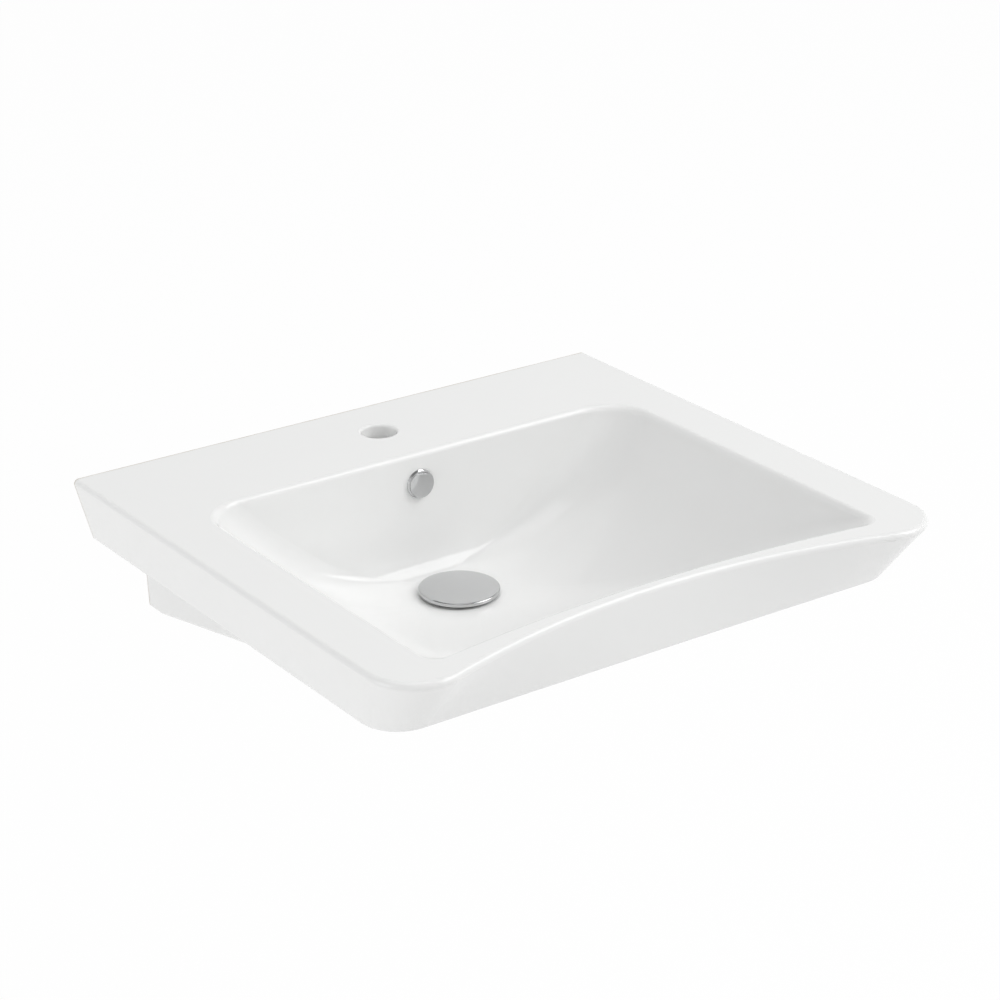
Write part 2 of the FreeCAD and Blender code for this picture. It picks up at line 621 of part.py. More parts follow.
tap_cut = pocket(basin, "tap_hole_cut", lambda s: circle(s, "0", "-tap_setback", "tap_hole"),
                 "deck_wall + 2 * cut_margin", "cut_margin")
tap_rim = []
for number, edge in enumerate(tap_cut.Shape.Edges, start=1):
    box = edge.BoundBox
    level = abs(box.ZMin) < LEVEL_SLACK and abs(box.ZMax) < LEVEL_SLACK
    if level and abs(box.XLength - mm("tap_hole")) < LEVEL_SLACK:
        tap_rim.append("Edge%d" % number)
tap_edge = basin.newObject("PartDesign::Fillet", "tap_hole_rounding")
tap_edge.Base = (tap_cut, tap_rim)
tap_edge.setExpression("Radius", bound("tap_hole_edge"))
doc.recompute()
pocket(basin, "waste_recess", lambda s: circle(s, "0", "-waste_setback", RECESS_WIDTH), RECESS_FLOOR)
pocket(basin, "waste_bore_cut", lambda s: circle(s, "0", "-waste_setback", WASTE_HOLE),
       RECESS_FLOOR + " + boss_height" + CUT)


def fixing_holes(sketch):
    for side in ("", "-"):
        circle(sketch, side + "fixing_spacing / 2", "-rim_height", "fixing_hole")


pocket(basin, "fixing_holes_cut", fixing_holes, "back_wall + 2 * cut_margin", "back_wall" + CUT,
       "XZ_Plane")
placed(basin, z="rim_height")
nodes = [basin]

# ---------------------------------------------------------------- the overflow
# Their Z axis stands square on the bowl's rear wall; zero is the flat seat round the hole.


def at_overflow(body):
    placed(body, y="-" + OVERFLOW_FACE, z="rim_height - overflow_drop")
    body.Placement.Rotation = FreeCAD.Rotation(Vector(1, 0, 0), 90)
    body.setExpression("Placement.Rotation.Angle", bound("90deg - " + OVERFLOW_LEAN))
    nodes.append(body)


ring = add_body("overflow_ring")
RING_FACE = "overflow_ring_thickness"
revolve(ring, "ring_turned", (
    (SLEEVE_BORE + " / 2", "-overflow_sleeve_length"),
    ("overflow_sleeve / 2", "-overflow_sleeve_length"),
    ("overflow_sleeve / 2", "0"),
    ("overflow_ring_width / 2", "0"),
    ("overflow_ring_width / 2", RING_FACE),
    (SLEEVE_BORE + " / 2", RING_FACE),
))
at_overflow(ring)

cover = add_body("overflow_cover")
COVER_BACK = "overflow_ring_thickness + cover_gap"
pad(cover, "cover_disc", lambda s: circle(s, "0", "0", "cover_width"), "cover_thickness", COVER_BACK)
pocket(cover, "cover_flat_cut",
       lambda s: rectangle(s, "-cover_width", "cover_width",
                           "cover_width / 2 - cover_flat_cut", "cover_width"),
       "cover_thickness" + CUT, COVER_BACK + " + cover_thickness")
LEG_FOOT = "overflow_ring_thickness - cover_leg"
LEG_REACH = "(%s ^ 2 / 4 - cover_leg_width ^ 2 / 4) ^ 0.5 - cover_leg_clearance" % SLEEVE_BORE
leg = pad(cover, "cover_leg_pad",
          lambda s: rectangle(s, LEG_REACH + " - cover_leg_wall", LEG_REACH,
                              "-cover_leg_width / 2", "cover_leg_width / 2"),
          "cover_leg + cover_gap", LEG_FOOT)
around(cover, "cover_legs_round", leg, "cover_legs")
at_overflow(cover)

# ---------------------------------------------------------------- the waste
# Zero is the top of the waste's flange, on the waste's axis.


def at_waste(feature):
    placed(feature, y="-waste_setback", z="rim_height - bowl_depth + flange_proud")
    nodes.append(feature)


THREAD_HOLE = "waste_thread / 2 + thread_clearance"
SLOT_FOOT = "-%s - %s" % (SLOT_TOP, SLOT_HEIGHT)
CROSS_TOP = SLOT_FOOT + " - cross_gap"
CROSS_FOOT = CROSS_TOP + " - cross_height"
HUB_WIDTH = "(%s + 2 * cross_hub_wall)" % BARREL_WIDTH
BARREL_HOLE = BARREL_WIDTH + " + 2 * thread_clearance"
RELIEF_FOOT = "trap_thread - waste_length"
RELIEF_TOP = RELIEF_FOOT + " + thread_relief"
waste = add_body("waste_body")
revolve(waste, "waste_turned", (
    (WASTE_BORE + " / 2", "-waste_length"),
    ("waste_thread / 2", "-waste_length"),
    ("waste_thread / 2", RELIEF_FOOT),
    ("waste_thread / 2 - thread_relief_depth", RELIEF_FOOT),
    ("waste_thread / 2 - thread_relief_depth", RELIEF_TOP),
    ("waste_thread / 2", RELIEF_TOP),
    ("waste_thread / 2", "-flange_thickness - neck_depth - neck_taper"),
    (NECK_WIDTH + " / 2", "-flange_thickness - neck_depth"),
    (NECK_WIDTH + " / 2", "-flange_thickness"),
    ("flange_width / 2", "-flange_thickness"),
    ("flange_width / 2", "0"),
    (THROAT_WIDTH + " / 2", "0"),
    (THROAT_WIDTH + " / 2", "-waste_throat_depth"),
    (WASTE_BORE + " / 2", "-waste_throat_depth - waste_throat_taper"),
))
slot = pocket(waste, "overflow_slot",
              lambda s: rectangle(s, "-slot_width / 2", "slot_width / 2", SLOT_FOOT, "-" + SLOT_TOP),
              "2 * waste_wall + 2 * cut_margin", "waste_thread / 2" + CUT, "XZ_Plane")
around(waste, "overflow_slots", slot, "slot_count")
arm = pad(waste, "cross_arm_pad",
          lambda s: rectangle(s, HUB_WIDTH + " / 2 - cut_margin", WASTE_BORE + " / 2" + CUT,
                              "-cross_arm / 2", "cross_arm / 2"),
          "cross_height", CROSS_FOOT)
around(waste, "cross_arms_round", arm, "cross_arms")
pad(waste, "cross_hub_pad", lambda s: circle(s, "0", "0", HUB_WIDTH), "cross_height", CROSS_FOOT)
pocket(waste, "cross_bore", lambda s: circle(s, "0", "0", BARREL_HOLE), "cross_height" + CUT, CROSS_TOP)
at_waste(waste)


def ring_profile(inner, outer, low, high):
    return ((inner, low), (outer, low), (outer, high), (inner, high))


gasket = add_body("flange_gasket")
revolve(gasket, "gasket_turned", ring_profile(
    NECK_WIDTH + " / 2 + thread_clearance", "flange_width / 2 - gasket_inset",
    "-flange_thickness - gasket_thickness", "-flange_thickness"))
at_waste(gasket)

BOSS_FOOT = "-flange_thickness - gasket_thickness - boss_height"
SEAL_FOOT = BOSS_FOOT + " - seal_height"
lower_seal = add_body("lower_seal")
revolve(lower_seal, "seal_turned", (
    (THREAD_HOLE, SEAL_FOOT),
    ("seal_foot_width / 2", SEAL_FOOT),
    ("seal_width / 2", BOSS_FOOT),
    (THREAD_HOLE, BOSS_FOOT),
))
at_waste(lower_seal)

WASHER_FOOT = SEAL_FOOT + " - slip_washer_thickness"
slip_washer = add_body("slip_washer")
revolve(slip_washer, "washer_turned",
        ring_profile(THREAD_HOLE, "slip_washer_width / 2", WASHER_FOOT, SEAL_FOOT))
at_waste(slip_washer)


def hexagon_nut(label, flats, height, hole, foot):
    """A hexagonal nut that stands on foot, with its hole given as a diameter."""
    nut = add_body(label)
    pad(nut, label + "_pad", lambda s: hexagon(s, flats), height, foot)
    pocket(nut, label + "_bore", lambda s: circle(s, "0", "0", hole), height + CUT, foot + " + " + height)
    return nut


at_waste(hexagon_nut("back_nut", "back_nut_flats", "back_nut_height", "2 * (%s)" % THREAD_HOLE,
                     WASHER_FOOT + " - back_nut_height"))

# the latch
BARREL_TOP = "-(cap_boss_height - cap_gap + lock_nut_height + barrel_gap)"
COLLAR_TOP = BARREL_TOP + " - barrel_lip - travel - rod_stop_gap"
COLLAR_FOOT = COLLAR_TOP + " - rod_collar_height"
CAM_FOOT = COLLAR_FOOT + " - cam_height"
PLUG_TOP = CAM_FOOT + " - spring_length"
BARREL_FOOT = PLUG_TOP + " - plug_height"
COLLAR_RADIUS = "barrel_bore / 2 - rod_collar_clearance"
ROD_HOLE = "rod_width / 2 + rod_clearance"
BARREL_COLLAR = BARREL_WIDTH + " / 2 + barrel_collar"
barrel = add_body("cartridge_housing")
revolve(barrel, "barrel_turned", (
    (ROD_HOLE, BARREL_TOP + " - barrel_lip"),
    ("barrel_bore / 2", BARREL_TOP + " - barrel_lip"),
    ("barrel_bore / 2", BARREL_FOOT),
    (BARREL_WIDTH + " / 2", BARREL_FOOT),
    (BARREL_WIDTH + " / 2", CROSS_TOP),
    (BARREL_COLLAR, CROSS_TOP),
    (BARREL_COLLAR, CROSS_TOP + " + barrel_collar_height"),
    (BARREL_WIDTH + " / 2", CROSS_TOP + " + barrel_collar_height"),
    (BARREL_WIDTH + " / 2", BARREL_TOP),
    (ROD_HOLE, BARREL_TOP),
))
at_waste(barrel)

plug = add_body("cartridge_base")
revolve(plug, "plug_turned", ring_profile("plug_hole / 2", "barrel_bore / 2 - thread_clearance",
                                          BARREL_FOOT, PLUG_TOP))
at_waste(plug)

at_waste(hexagon_nut("cartridge_nut", "cartridge_nut_flats", "cartridge_nut_height", BARREL_HOLE,
                     CROSS_FOOT + " - cartridge_nut_height"))

PIN_FOOT = PLUG_TOP + " + rod_pin_gap"
STUD_TOP = "cap_gap + cap_stud_room - cap_stud_gap"
rod = add_body("plunger_rod")
revolve(rod, "rod_turned", (
    ("0", PIN_FOOT),
    ("rod_pin_width / 2", PIN_FOOT),
    ("rod_pin_width / 2", COLLAR_FOOT),
    (COLLAR_RADIUS, COLLAR_FOOT),
    (COLLAR_RADIUS, COLLAR_TOP),
    ("rod_width / 2", COLLAR_TOP),
    ("rod_width / 2", STUD_TOP),
    ("0", STUD_TOP),
))
at_waste(rod)

cam = add_body("click_cam")
revolve(cam, "cam_turned", ring_profile("rod_pin_width / 2 + cam_clearance", COLLAR_RADIUS,
                                        CAM_FOOT, COLLAR_FOOT))
gap = pocket(cam, "cam_gap_cut",
             lambda s: rectangle(s, "rod_pin_width / 4", "barrel_bore / 2",
                                 "-cam_tooth_gap / 2", "cam_tooth_gap / 2"),
             "cam_tooth_height", COLLAR_FOOT)
around(cam, "cam_gaps_round", gap, "cam_teeth")
at_waste(cam)

# The spring stands between the plug and the latch ring.
spring = add_body("click_spring")
wire = add_sketch(spring, "wire_outline", "XZ_Plane")
circle(wire, "barrel_bore / 2 - spring_room - spring_wire / 2",
       PLUG_TOP + " + spring_end_gap + spring_wire / 2", "spring_wire")
coil = spring.newObject("PartDesign::AdditiveHelix", "spring_coil")
coil.Profile = wire
coil.ReferenceAxis = (wire, ["V_Axis"])
coil.Mode = "height-turns-angle"
coil.setExpression("Height", bound("spring_length - 2 * spring_end_gap - spring_wire"))
coil.setExpression("Turns", bound("spring_turns"))
doc.recompute()
at_waste(spring)

CAP_TOP = "cap_gap + cap_thickness"
CAP_HUB = "(%s / 2 - cap_seal_gap - cap_seal_cord - thread_clearance)" % THROAT_WIDTH
HUB_FOOT = "cap_gap - cap_hub_height"
CAP_BOSS_FOOT = "cap_gap - cap_boss_height"
STUD_HOLE = "rod_width / 2 + thread_clearance"
# The dome's radius follows from its rise over the cap's flat top edge.
DOME_RISE = "(cap_thickness - cap_edge_thickness)"
DOME_REACH = "(cap_width / 2 - cap_edge)"
DOME_RADIUS = "(%s ^ 2 + %s ^ 2) / (2 * %s)" % (DOME_REACH, DOME_RISE, DOME_RISE)
cap = add_body("waste_cap")
revolve(cap, "cap_turned", (
    (STUD_HOLE, CAP_BOSS_FOOT),
    ("rod_width / 2 + cap_boss_wall", CAP_BOSS_FOOT),
    ("rod_width / 2 + cap_boss_wall", HUB_FOOT),
    (CAP_HUB, HUB_FOOT),
    (CAP_HUB, "cap_gap"),
    ("cap_width / 2 - cap_edge / 2", "cap_gap"),
    ("cap_width / 2", "cap_gap + cap_edge_thickness - cap_edge", "cap_edge"),
    ("cap_width / 2 - cap_edge", "cap_gap + cap_edge_thickness", DOME_RADIUS),
    ("0", CAP_TOP),
    ("0", "cap_gap + cap_stud_room"),
    (STUD_HOLE, "cap_gap + cap_stud_room"),
))
at_waste(cap)

cap_seal = doc.addObject("Part::Torus", "cap_seal")
cap_seal.setExpression("Radius1", bound(CAP_HUB + " + cap_seal_cord / 2 + thread_clearance"))
cap_seal.setExpression("Radius2", bound("cap_seal_cord / 2"))
placed(cap_seal, y="-waste_setback",
       z="rim_height - bowl_depth + flange_proud + cap_gap - cap_seal_drop - cap_seal_cord / 2")
nodes.append(cap_seal)

at_waste(hexagon_nut("cap_lock_nut", "lock_nut_flats", "lock_nut_height", "2 * (%s)" % STUD_HOLE,
                     CAP_BOSS_FOOT + " - lock_nut_height"))

# ---------------------------------------------------------------- the wall fixings
# Their Z axis points out of the wall into the room; zero is the wall face.

BUSH_FACE = "back_wall + bush_flange_thickness"
WASHER_FACE = BUSH_FACE + " + stud_washer_thickness"
STUD_HOLE_AT_WALL = "stud_thread / 2 + thread_clearance"
STUD_END = WASHER_FACE + " + stud_nut_height + stud_beyond"
NUT_CAP_BORE = "(stud_nut_flats / sqrt(3) + nut_cap_clearance)"
NUT_CAP_RADIUS = "(%s + nut_cap_wall)" % NUT_CAP_BORE
STUD_WASHER_RADIUS = "(%s + washer_margin)" % NUT_CAP_RADIUS


def pair_at_wall(label, body):
    """Places a fixing at the right-hand hole and mirrors it to the left-hand one."""
    body.Label = label + "_right"
    placed(body, x="fixing_spacing / 2")
    body.Placement.Rotation = FreeCAD.Rotation(Vector(1, 0, 0), 90)
    other = doc.addObject("Part::Mirroring", label + "_left")
    other.Source = body
    other.Normal = Vector(1, 0, 0)
    pair = doc.addObject("Part::Compound", label)
    pair.Links = [body, other]
    nodes.append(pair)


stud = add_body("wall_stud")
revolve(stud, "stud_turned", (
    ("0", "-stud_in_wall - stud_point"),
    ("stud_shank / 2", "-stud_in_wall"),
    ("stud_shank / 2", "0"),
    ("stud_thread / 2", "0"),
    ("stud_thread / 2", STUD_END),
    ("0", STUD_END),
))
pair_at_wall("wall_studs", stud)

bush = add_body("stud_bush")
revolve(bush, "bush_turned", (
    (STUD_HOLE_AT_WALL, "bush_sleeve_gap"),
    ("fixing_hole / 2 - bush_clearance", "bush_sleeve_gap"),
    ("fixing_hole / 2 - bush_clearance", "back_wall"),
    (STUD_WASHER_RADIUS + " + bush_margin", "back_wall"),
    (STUD_WASHER_RADIUS + " + bush_margin", BUSH_FACE),
    (STUD_HOLE_AT_WALL, BUSH_FACE),
))
pair_at_wall("stud_bushes", bush)

stud_washer = add_body("stud_washer_ring")
revolve(stud_washer, "stud_washer_turned",
        ring_profile(STUD_HOLE_AT_WALL, STUD_WASHER_RADIUS, BUSH_FACE, WASHER_FACE))
pair_at_wall("stud_washers", stud_washer)

pair_at_wall("stud_nuts", hexagon_nut("stud_nut", "stud_nut_flats", "stud_nut_height",
                                      "2 * (%s)" % STUD_HOLE_AT_WALL, WASHER_FACE))

NUT_CAP_ROOF = STUD_END + " + nut_cap_gap"
NUT_CAP_TOP = NUT_CAP_ROOF + " + nut_cap_wall"
nut_cap = add_body("nut_cap")
revolve(nut_cap, "nut_cap_turned", (
    (NUT_CAP_BORE, WASHER_FACE),
    (NUT_CAP_RADIUS, WASHER_FACE),
    (NUT_CAP_RADIUS, NUT_CAP_TOP + " - nut_cap_edge", "nut_cap_edge"),
    (NUT_CAP_RADIUS + " - nut_cap_edge", NUT_CAP_TOP),
    ("0", NUT_CAP_TOP),
    ("0", NUT_CAP_ROOF),
    (NUT_CAP_BORE, NUT_CAP_ROOF),
))
pair_at_wall("nut_caps", nut_cap)

# ---------------------------------------------------------------- checks and files

doc.recompute()
for thing in doc.Objects:
    if {"Invalid", "Error"} & set(thing.State):
        raise RuntimeError("%s is %s" % (thing.Label, thing.State))
for node in nodes:
    if node.Shape.isNull() or not node.Shape.isValid():
        raise RuntimeError(node.Label + " has no valid shape")

os.makedirs("parts", exist_ok=True)
for node in nodes:
    node.Shape.exportStep("parts/%s.step" % node.Label)
    print("%-20s %d solid(s) %12.1f mm3" % (node.Label, len(node.Shape.Solids), node.Shape.Volume))
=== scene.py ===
# %% [markdown]
# # A wall-hung washbasin, dressed for its picture
#
# A washbasin is one large glazed casting with a few small metal, rubber and plastic parts let into
# it. The measured solids come from the CAD model, in metres, with the origin on the wall face. This
# file gives them their finish, and models again the small parts that a camera sees closely. X runs
# along the wall, Y points into the wall and Z is up.

import json
import math

import bmesh
import bpy
from mathutils import Matrix, Vector


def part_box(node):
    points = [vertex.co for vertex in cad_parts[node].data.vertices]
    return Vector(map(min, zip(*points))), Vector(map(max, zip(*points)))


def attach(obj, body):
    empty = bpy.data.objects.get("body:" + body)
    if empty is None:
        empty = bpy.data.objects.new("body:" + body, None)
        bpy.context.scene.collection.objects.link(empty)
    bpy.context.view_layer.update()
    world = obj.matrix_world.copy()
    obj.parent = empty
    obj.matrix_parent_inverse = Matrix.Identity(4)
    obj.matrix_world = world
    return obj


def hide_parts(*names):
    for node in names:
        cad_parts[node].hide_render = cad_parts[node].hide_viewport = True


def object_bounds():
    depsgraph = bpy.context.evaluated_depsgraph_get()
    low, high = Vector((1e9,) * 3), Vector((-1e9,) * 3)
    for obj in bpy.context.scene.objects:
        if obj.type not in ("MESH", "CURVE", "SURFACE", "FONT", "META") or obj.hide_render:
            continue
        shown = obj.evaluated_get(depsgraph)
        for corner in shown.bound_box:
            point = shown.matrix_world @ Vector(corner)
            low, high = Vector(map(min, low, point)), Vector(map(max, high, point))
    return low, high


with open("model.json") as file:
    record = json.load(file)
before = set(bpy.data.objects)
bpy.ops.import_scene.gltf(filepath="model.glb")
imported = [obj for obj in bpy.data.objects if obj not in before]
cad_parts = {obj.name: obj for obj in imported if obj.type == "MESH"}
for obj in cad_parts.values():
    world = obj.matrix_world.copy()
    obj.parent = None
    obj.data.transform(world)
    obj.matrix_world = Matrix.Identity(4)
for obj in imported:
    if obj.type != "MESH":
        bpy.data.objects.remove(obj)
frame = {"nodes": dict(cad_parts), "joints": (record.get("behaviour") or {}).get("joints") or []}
cad_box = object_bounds()
nodes = frame["nodes"]
scene = bpy.context.scene
scene.view_settings.view_transform = "Standard"
print(len(nodes), "solids in a box of", [round(side, 4) for side in cad_box[1] - cad_box[0]])

# %% [markdown]
# ## The camera
#
# The picture was taken from the front left, a little above the rim, with a long lens. A camera in
# Blender looks along its own -Z axis, so it is turned by three angles: pitch down from the horizon,
# yaw from straight ahead towards +X, and a trace of roll. Lens and distance have to be right
# together. A wide lens close up would splay the rim, and a longer one would make it a drawing.

# %% Place the camera
CAMERA_PLACE = Vector((-1.3765, -2.2093, 1.0973))
CAMERA_YAW = math.radians(35.348)
CAMERA_PITCH = math.radians(22.912)
CAMERA_ROLL = math.radians(0.235)
LENS_MM = 100.58
SENSOR_MM = 36.0

camera_data = bpy.data.cameras.new("camera")
camera_data.lens = LENS_MM
camera_data.sensor_width = SENSOR_MM
camera = bpy.data.objects.new("camera", camera_data)
scene.collection.objects.link(camera)
aimed = Matrix.Rotation(-CAMERA_YAW, 4, "Z") @ Matrix.Rotation(math.pi / 2 - CAMERA_PITCH, 4, "X")
camera.matrix_world = Matrix.Translation(CAMERA_PLACE) @ aimed @ Matrix.Rotation(-CAMERA_ROLL, 4, "Z")
scene.camera = camera
print("camera at", [round(value, 3) for value in CAMERA_PLACE], "with a lens of", LENS_MM, "mm")

# %% [markdown]
# ## Wiring materials
#
# Every finish below is one Principled shader. What is the same all over a surface, such as metalness,
# is set on the shader itself. What varies, such as smears or grain, is worked out from the place on
# the object by a few node groups that the finishes share. A node tree is slow to read when each
# node takes four lines, so three helpers put in one sum, one range or one mix of colours at a time.

# %% Start a material
def new_paint(name, settings):
    """Makes a material; returns it, its tree, its shader and the place on the object."""
    paint = bpy.data.materials.new(name)
    paint.use_nodes = True
    tree = paint.node_tree
    shader = tree.nodes["Principled BSDF"]
    for socket, value in settings.items():
        shader.inputs[socket].default_value = value
    place = tree.nodes.new("ShaderNodeTexCoord")
    print("paint", name)
    return paint, tree, shader, place.outputs["Object"]


def new_group(name, inputs, outputs):
    """An empty node group: its inputs and outputs are names of number sockets, led by a place."""
    tree = bpy.data.node_groups.new(name, "ShaderNodeTree")
    tree.interface.new_socket("Place", in_out="INPUT", socket_type="NodeSocketVector")
    for label in inputs:
        tree.interface.new_socket(label, in_out="INPUT", socket_type="NodeSocketFloat")
    for label in outputs:
        tree.interface.new_socket(label, in_out="OUTPUT", socket_type="NodeSocketFloat")
    return tree, tree.nodes.new("NodeGroupInput"), tree.nodes.new("NodeGroupOutput")


def use_group(tree, group, place, settings):
    """Puts a group into a material, reading the given place; returns its value."""
    node = tree.nodes.new("ShaderNodeGroup")
    node.node_tree = group
    tree.links.new(place, node.inputs["Place"])
    for label, value in settings.items():
        node.inputs[label].default_value = value
    return node.outputs["Value"]


# %% Wire sums, ranges and mixes
def fill(tree, socket, term):
    """Links a socket to an output, or sets it to a number or colour."""
    if isinstance(term, bpy.types.NodeSocket):
        tree.links.new(term, socket)
    else:
        socket.default_value = term


def maths(tree, operation, *terms):
    """One sum, whose terms are numbers or outputs."""
    node = tree.nodes.new("ShaderNodeMath")
    node.operation = operation
    for socket, term in zip(node.inputs, terms):
        fill(tree, socket, term)
    return node.outputs[0]


def remap(tree, value, low=0.0, high=1.0, start=0.0, end=1.0, smooth=False):
    """Turns a value of start to end into one of low to high."""
    node = tree.nodes.new("ShaderNodeMapRange")
    if smooth:
        node.interpolation_type = "SMOOTHSTEP"
    for label, number in (("From Min", start), ("From Max", end), ("To Min", low), ("To Max", high)):
        node.inputs[label].default_value = number
    tree.links.new(value, node.inputs["Value"])
    return node.outputs["Result"]


def tint(tree, share, first, second):
    """Mixes two colours by a share of 0 to 1; each is a colour or an output."""
    node = tree.nodes.new("ShaderNodeMix")
    node.data_type = "RGBA"
    tree.links.new(share, node.inputs["Factor"])
    for label, colour in (("A", first), ("B", second)):
        is_output = isinstance(colour, bpy.types.NodeSocket)
        fill(tree, node.inputs[label], colour if is_output else (*colour, 1))
    return node.outputs["Result"]


def bump(tree, shader, height, metres):
    """Raises the surface by a height of 0 to 1 times so many metres."""
    node = tree.nodes.new("ShaderNodeBump")
    node.inputs["Distance"].default_value = metres
    tree.links.new(height, node.inputs["Height"])
    tree.links.new(node.outputs["Normal"], shader.inputs["Normal"])


print("helpers for sums, ranges, mixes and bumps are ready")

# %% [markdown]
# ## Shared groups
#
# Two groups serve all finishes. *Drift* is a slow change, as wide as a hand, in how thick or how
# clean a surface is. *Grain* is the fine texture that a mould, a kiln or a polishing wheel leaves.
# A third, *turning*, draws the fine rings of a lathe round an axis.

# %% Make the shared groups
CLOUD_DARK = 0.3
CLOUD_LIGHT = 0.7
RING_DETAIL = 3.0


def noise_group(name, detail, roughness):
    """A group that gives noise of the given scale, evened out to run from 0 to 1."""
    tree, given, result = new_group(name, ("Scale",), ("Value",))
    cloud = tree.nodes.new("ShaderNodeTexNoise")
    cloud.inputs["Detail"].default_value = detail
    cloud.inputs["Roughness"].default_value = roughness
    tree.links.new(given.outputs["Place"], cloud.inputs["Vector"])
    tree.links.new(given.outputs["Scale"], cloud.inputs["Scale"])
    even = remap(tree, cloud.outputs["Fac"], start=CLOUD_DARK, end=CLOUD_LIGHT, smooth=True)
    tree.links.new(even, result.inputs["Value"])
    return tree


drift_group = noise_group("drift", 2.0, 0.5)
grain_group = noise_group("grain", 6.0, 0.65)

turning_group, given, result = new_group("turning", ("Rings",), ("Value",))
flat = turning_group.nodes.new("ShaderNodeVectorMath")
flat.operation = "MULTIPLY"
flat.inputs[1].default_value = (1, 1, 0)
reach = turning_group.nodes.new("ShaderNodeVectorMath")
reach.operation = "LENGTH"
line = turning_group.nodes.new("ShaderNodeCombineXYZ")
rings = turning_group.nodes.new("ShaderNodeTexNoise")
rings.inputs["Detail"].default_value = RING_DETAIL
link = turning_group.links.new
link(given.outputs["Place"], flat.inputs[0])
link(flat.outputs["Vector"], reach.inputs[0])
link(reach.outputs["Value"], line.inputs["X"])
link(line.outputs["Vector"], rings.inputs["Vector"])
link(given.outputs["Rings"], rings.inputs["Scale"])
link(rings.outputs["Fac"], result.inputs["Value"])
print("groups", [group.name for group in bpy.data.node_groups])

# %% [markdown]
# ## Glaze
#
# Sanitary ware is vitreous china under a white glaze half a millimetre thick: white, hard, and as
# smooth as glass but for a slow waviness that shows only where a lamp is mirrored in it. The face
# against the wall is ground flat and left without glaze, so it is matt and warmer. What looks down
# gets only a thin coat. A mask by place and one by which way the surface faces tell the three
# apart, so that the colours never slide when the view changes.

# %% Choose the glaze
GLAZE = (0.892, 0.895, 0.889)
GLAZE_THIN = (0.865, 0.866, 0.855)
BISQUE = (0.70, 0.665, 0.60)
# how much darker the glaze gets where it drifts, and the bare clay at its specks
DRIFT_SHADE = 0.994
SPECK_SHADE = 0.93
GLAZE_SHINE = (0.045, 0.075)
THIN_DULLNESS = 0.16
GROUND_DULLNESS = 0.7
WAVE_HEIGHT = 0.00003
GROUND_DEPTH = 0.0012
GROUND_WANDER = 0.0006
# a surface counts as underside from the first of these upward parts of its normal to the second
UNDER_START = -0.55
UNDER_END = -0.95
print("the glaze's roughness runs from", GLAZE_SHINE[0], "to", GLAZE_SHINE[1])

# %% Paint the casting
glaze, tree, shader, place = new_paint("glaze", {"IOR": 1.5, "Specular IOR Level": 0.5})
drift = use_group(tree, drift_group, place, {"Scale": 9.0})
speck = use_group(tree, grain_group, place, {"Scale": 1400.0})
wave = use_group(tree, drift_group, place, {"Scale": 38.0})

# ground face: the last millimetre towards the wall, with an edge that wanders a little
apart = tree.nodes.new("ShaderNodeSeparateXYZ")
tree.links.new(place, apart.inputs["Vector"])
wandered = maths(tree, "MULTIPLY_ADD", wave, GROUND_WANDER, apart.outputs["Y"])
ground = remap(tree, wandered, start=-GROUND_DEPTH, end=-GROUND_DEPTH / 2, smooth=True)

# underside: where the surface faces down
faced = tree.nodes.new("ShaderNodeTexCoord")
upward = tree.nodes.new("ShaderNodeSeparateXYZ")
tree.links.new(faced.outputs["Normal"], upward.inputs["Vector"])
under = remap(tree, upward.outputs["Z"], start=UNDER_START, end=UNDER_END)

white = tint(tree, drift, [DRIFT_SHADE * part for part in GLAZE], GLAZE)
glazed = tint(tree, under, white, GLAZE_THIN)
clay = tint(tree, speck, [SPECK_SHADE * part for part in BISQUE], BISQUE)
tree.links.new(tint(tree, ground, glazed, clay), shader.inputs["Base Color"])

thick_shine = remap(tree, drift, *GLAZE_SHINE)
glazed_shine = maths(tree, "MULTIPLY_ADD", under, THIN_DULLNESS, thick_shine)
shine = maths(tree, "MULTIPLY_ADD", ground, GROUND_DULLNESS, glazed_shine)
tree.links.new(shine, shader.inputs["Roughness"])
bump(tree, shader, wave, WAVE_HEIGHT)

# %% [markdown]
# ## Metals
#
# Chrome plate mirrors what is round it, darker than silver does, with a faint haze of fingers and
# water. Brass nuts are turned from bar and left bare. Zinc-plated steel is greyer and duller, in
# patches where the crystals of the zinc differ.

# %% Paint the chrome
CHROME = (0.562, 0.566, 0.57)
CHROME_SHINE = (0.05, 0.10)
POLISH_HEIGHT = 0.000004

chrome, tree, shader, place = new_paint("chrome", {"Metallic": 1.0, "Base Color": (*CHROME, 1)})
smear = use_group(tree, grain_group, place, {"Scale": 70.0})
polish = use_group(tree, drift_group, place, {"Scale": 220.0})
tree.links.new(remap(tree, smear, *CHROME_SHINE), shader.inputs["Roughness"])
bump(tree, shader, polish, POLISH_HEIGHT)

# %% Paint the brass
BRASS_BRIGHT = (0.76, 0.60, 0.33)
BRASS_DULL = (0.60, 0.44, 0.22)
BRASS_SHINE = (0.42, 0.24)
TURNING_HEIGHT = 0.00003
# the waste's parts are turned round the line along which the cap lifts
waste_axis_y = next(joint["pos_m"][1] for joint in frame["joints"] if joint["name"] == "cap_lift")

brass, tree, shader, place = new_paint("brass", {"Metallic": 1.0})
centred = tree.nodes.new("ShaderNodeMapping")
centred.inputs["Location"].default_value = (0, -waste_axis_y, 0)
tree.links.new(place, centred.inputs["Vector"])
tarnish = use_group(tree, grain_group, place, {"Scale": 90.0})
turned_marks = use_group(tree, turning_group, centred.outputs["Vector"], {"Rings": 2600.0})
tree.links.new(tint(tree, tarnish, BRASS_DULL, BRASS_BRIGHT), shader.inputs["Base Color"])
tree.links.new(remap(tree, tarnish, *BRASS_SHINE), shader.inputs["Roughness"])
bump(tree, shader, turned_marks, TURNING_HEIGHT)

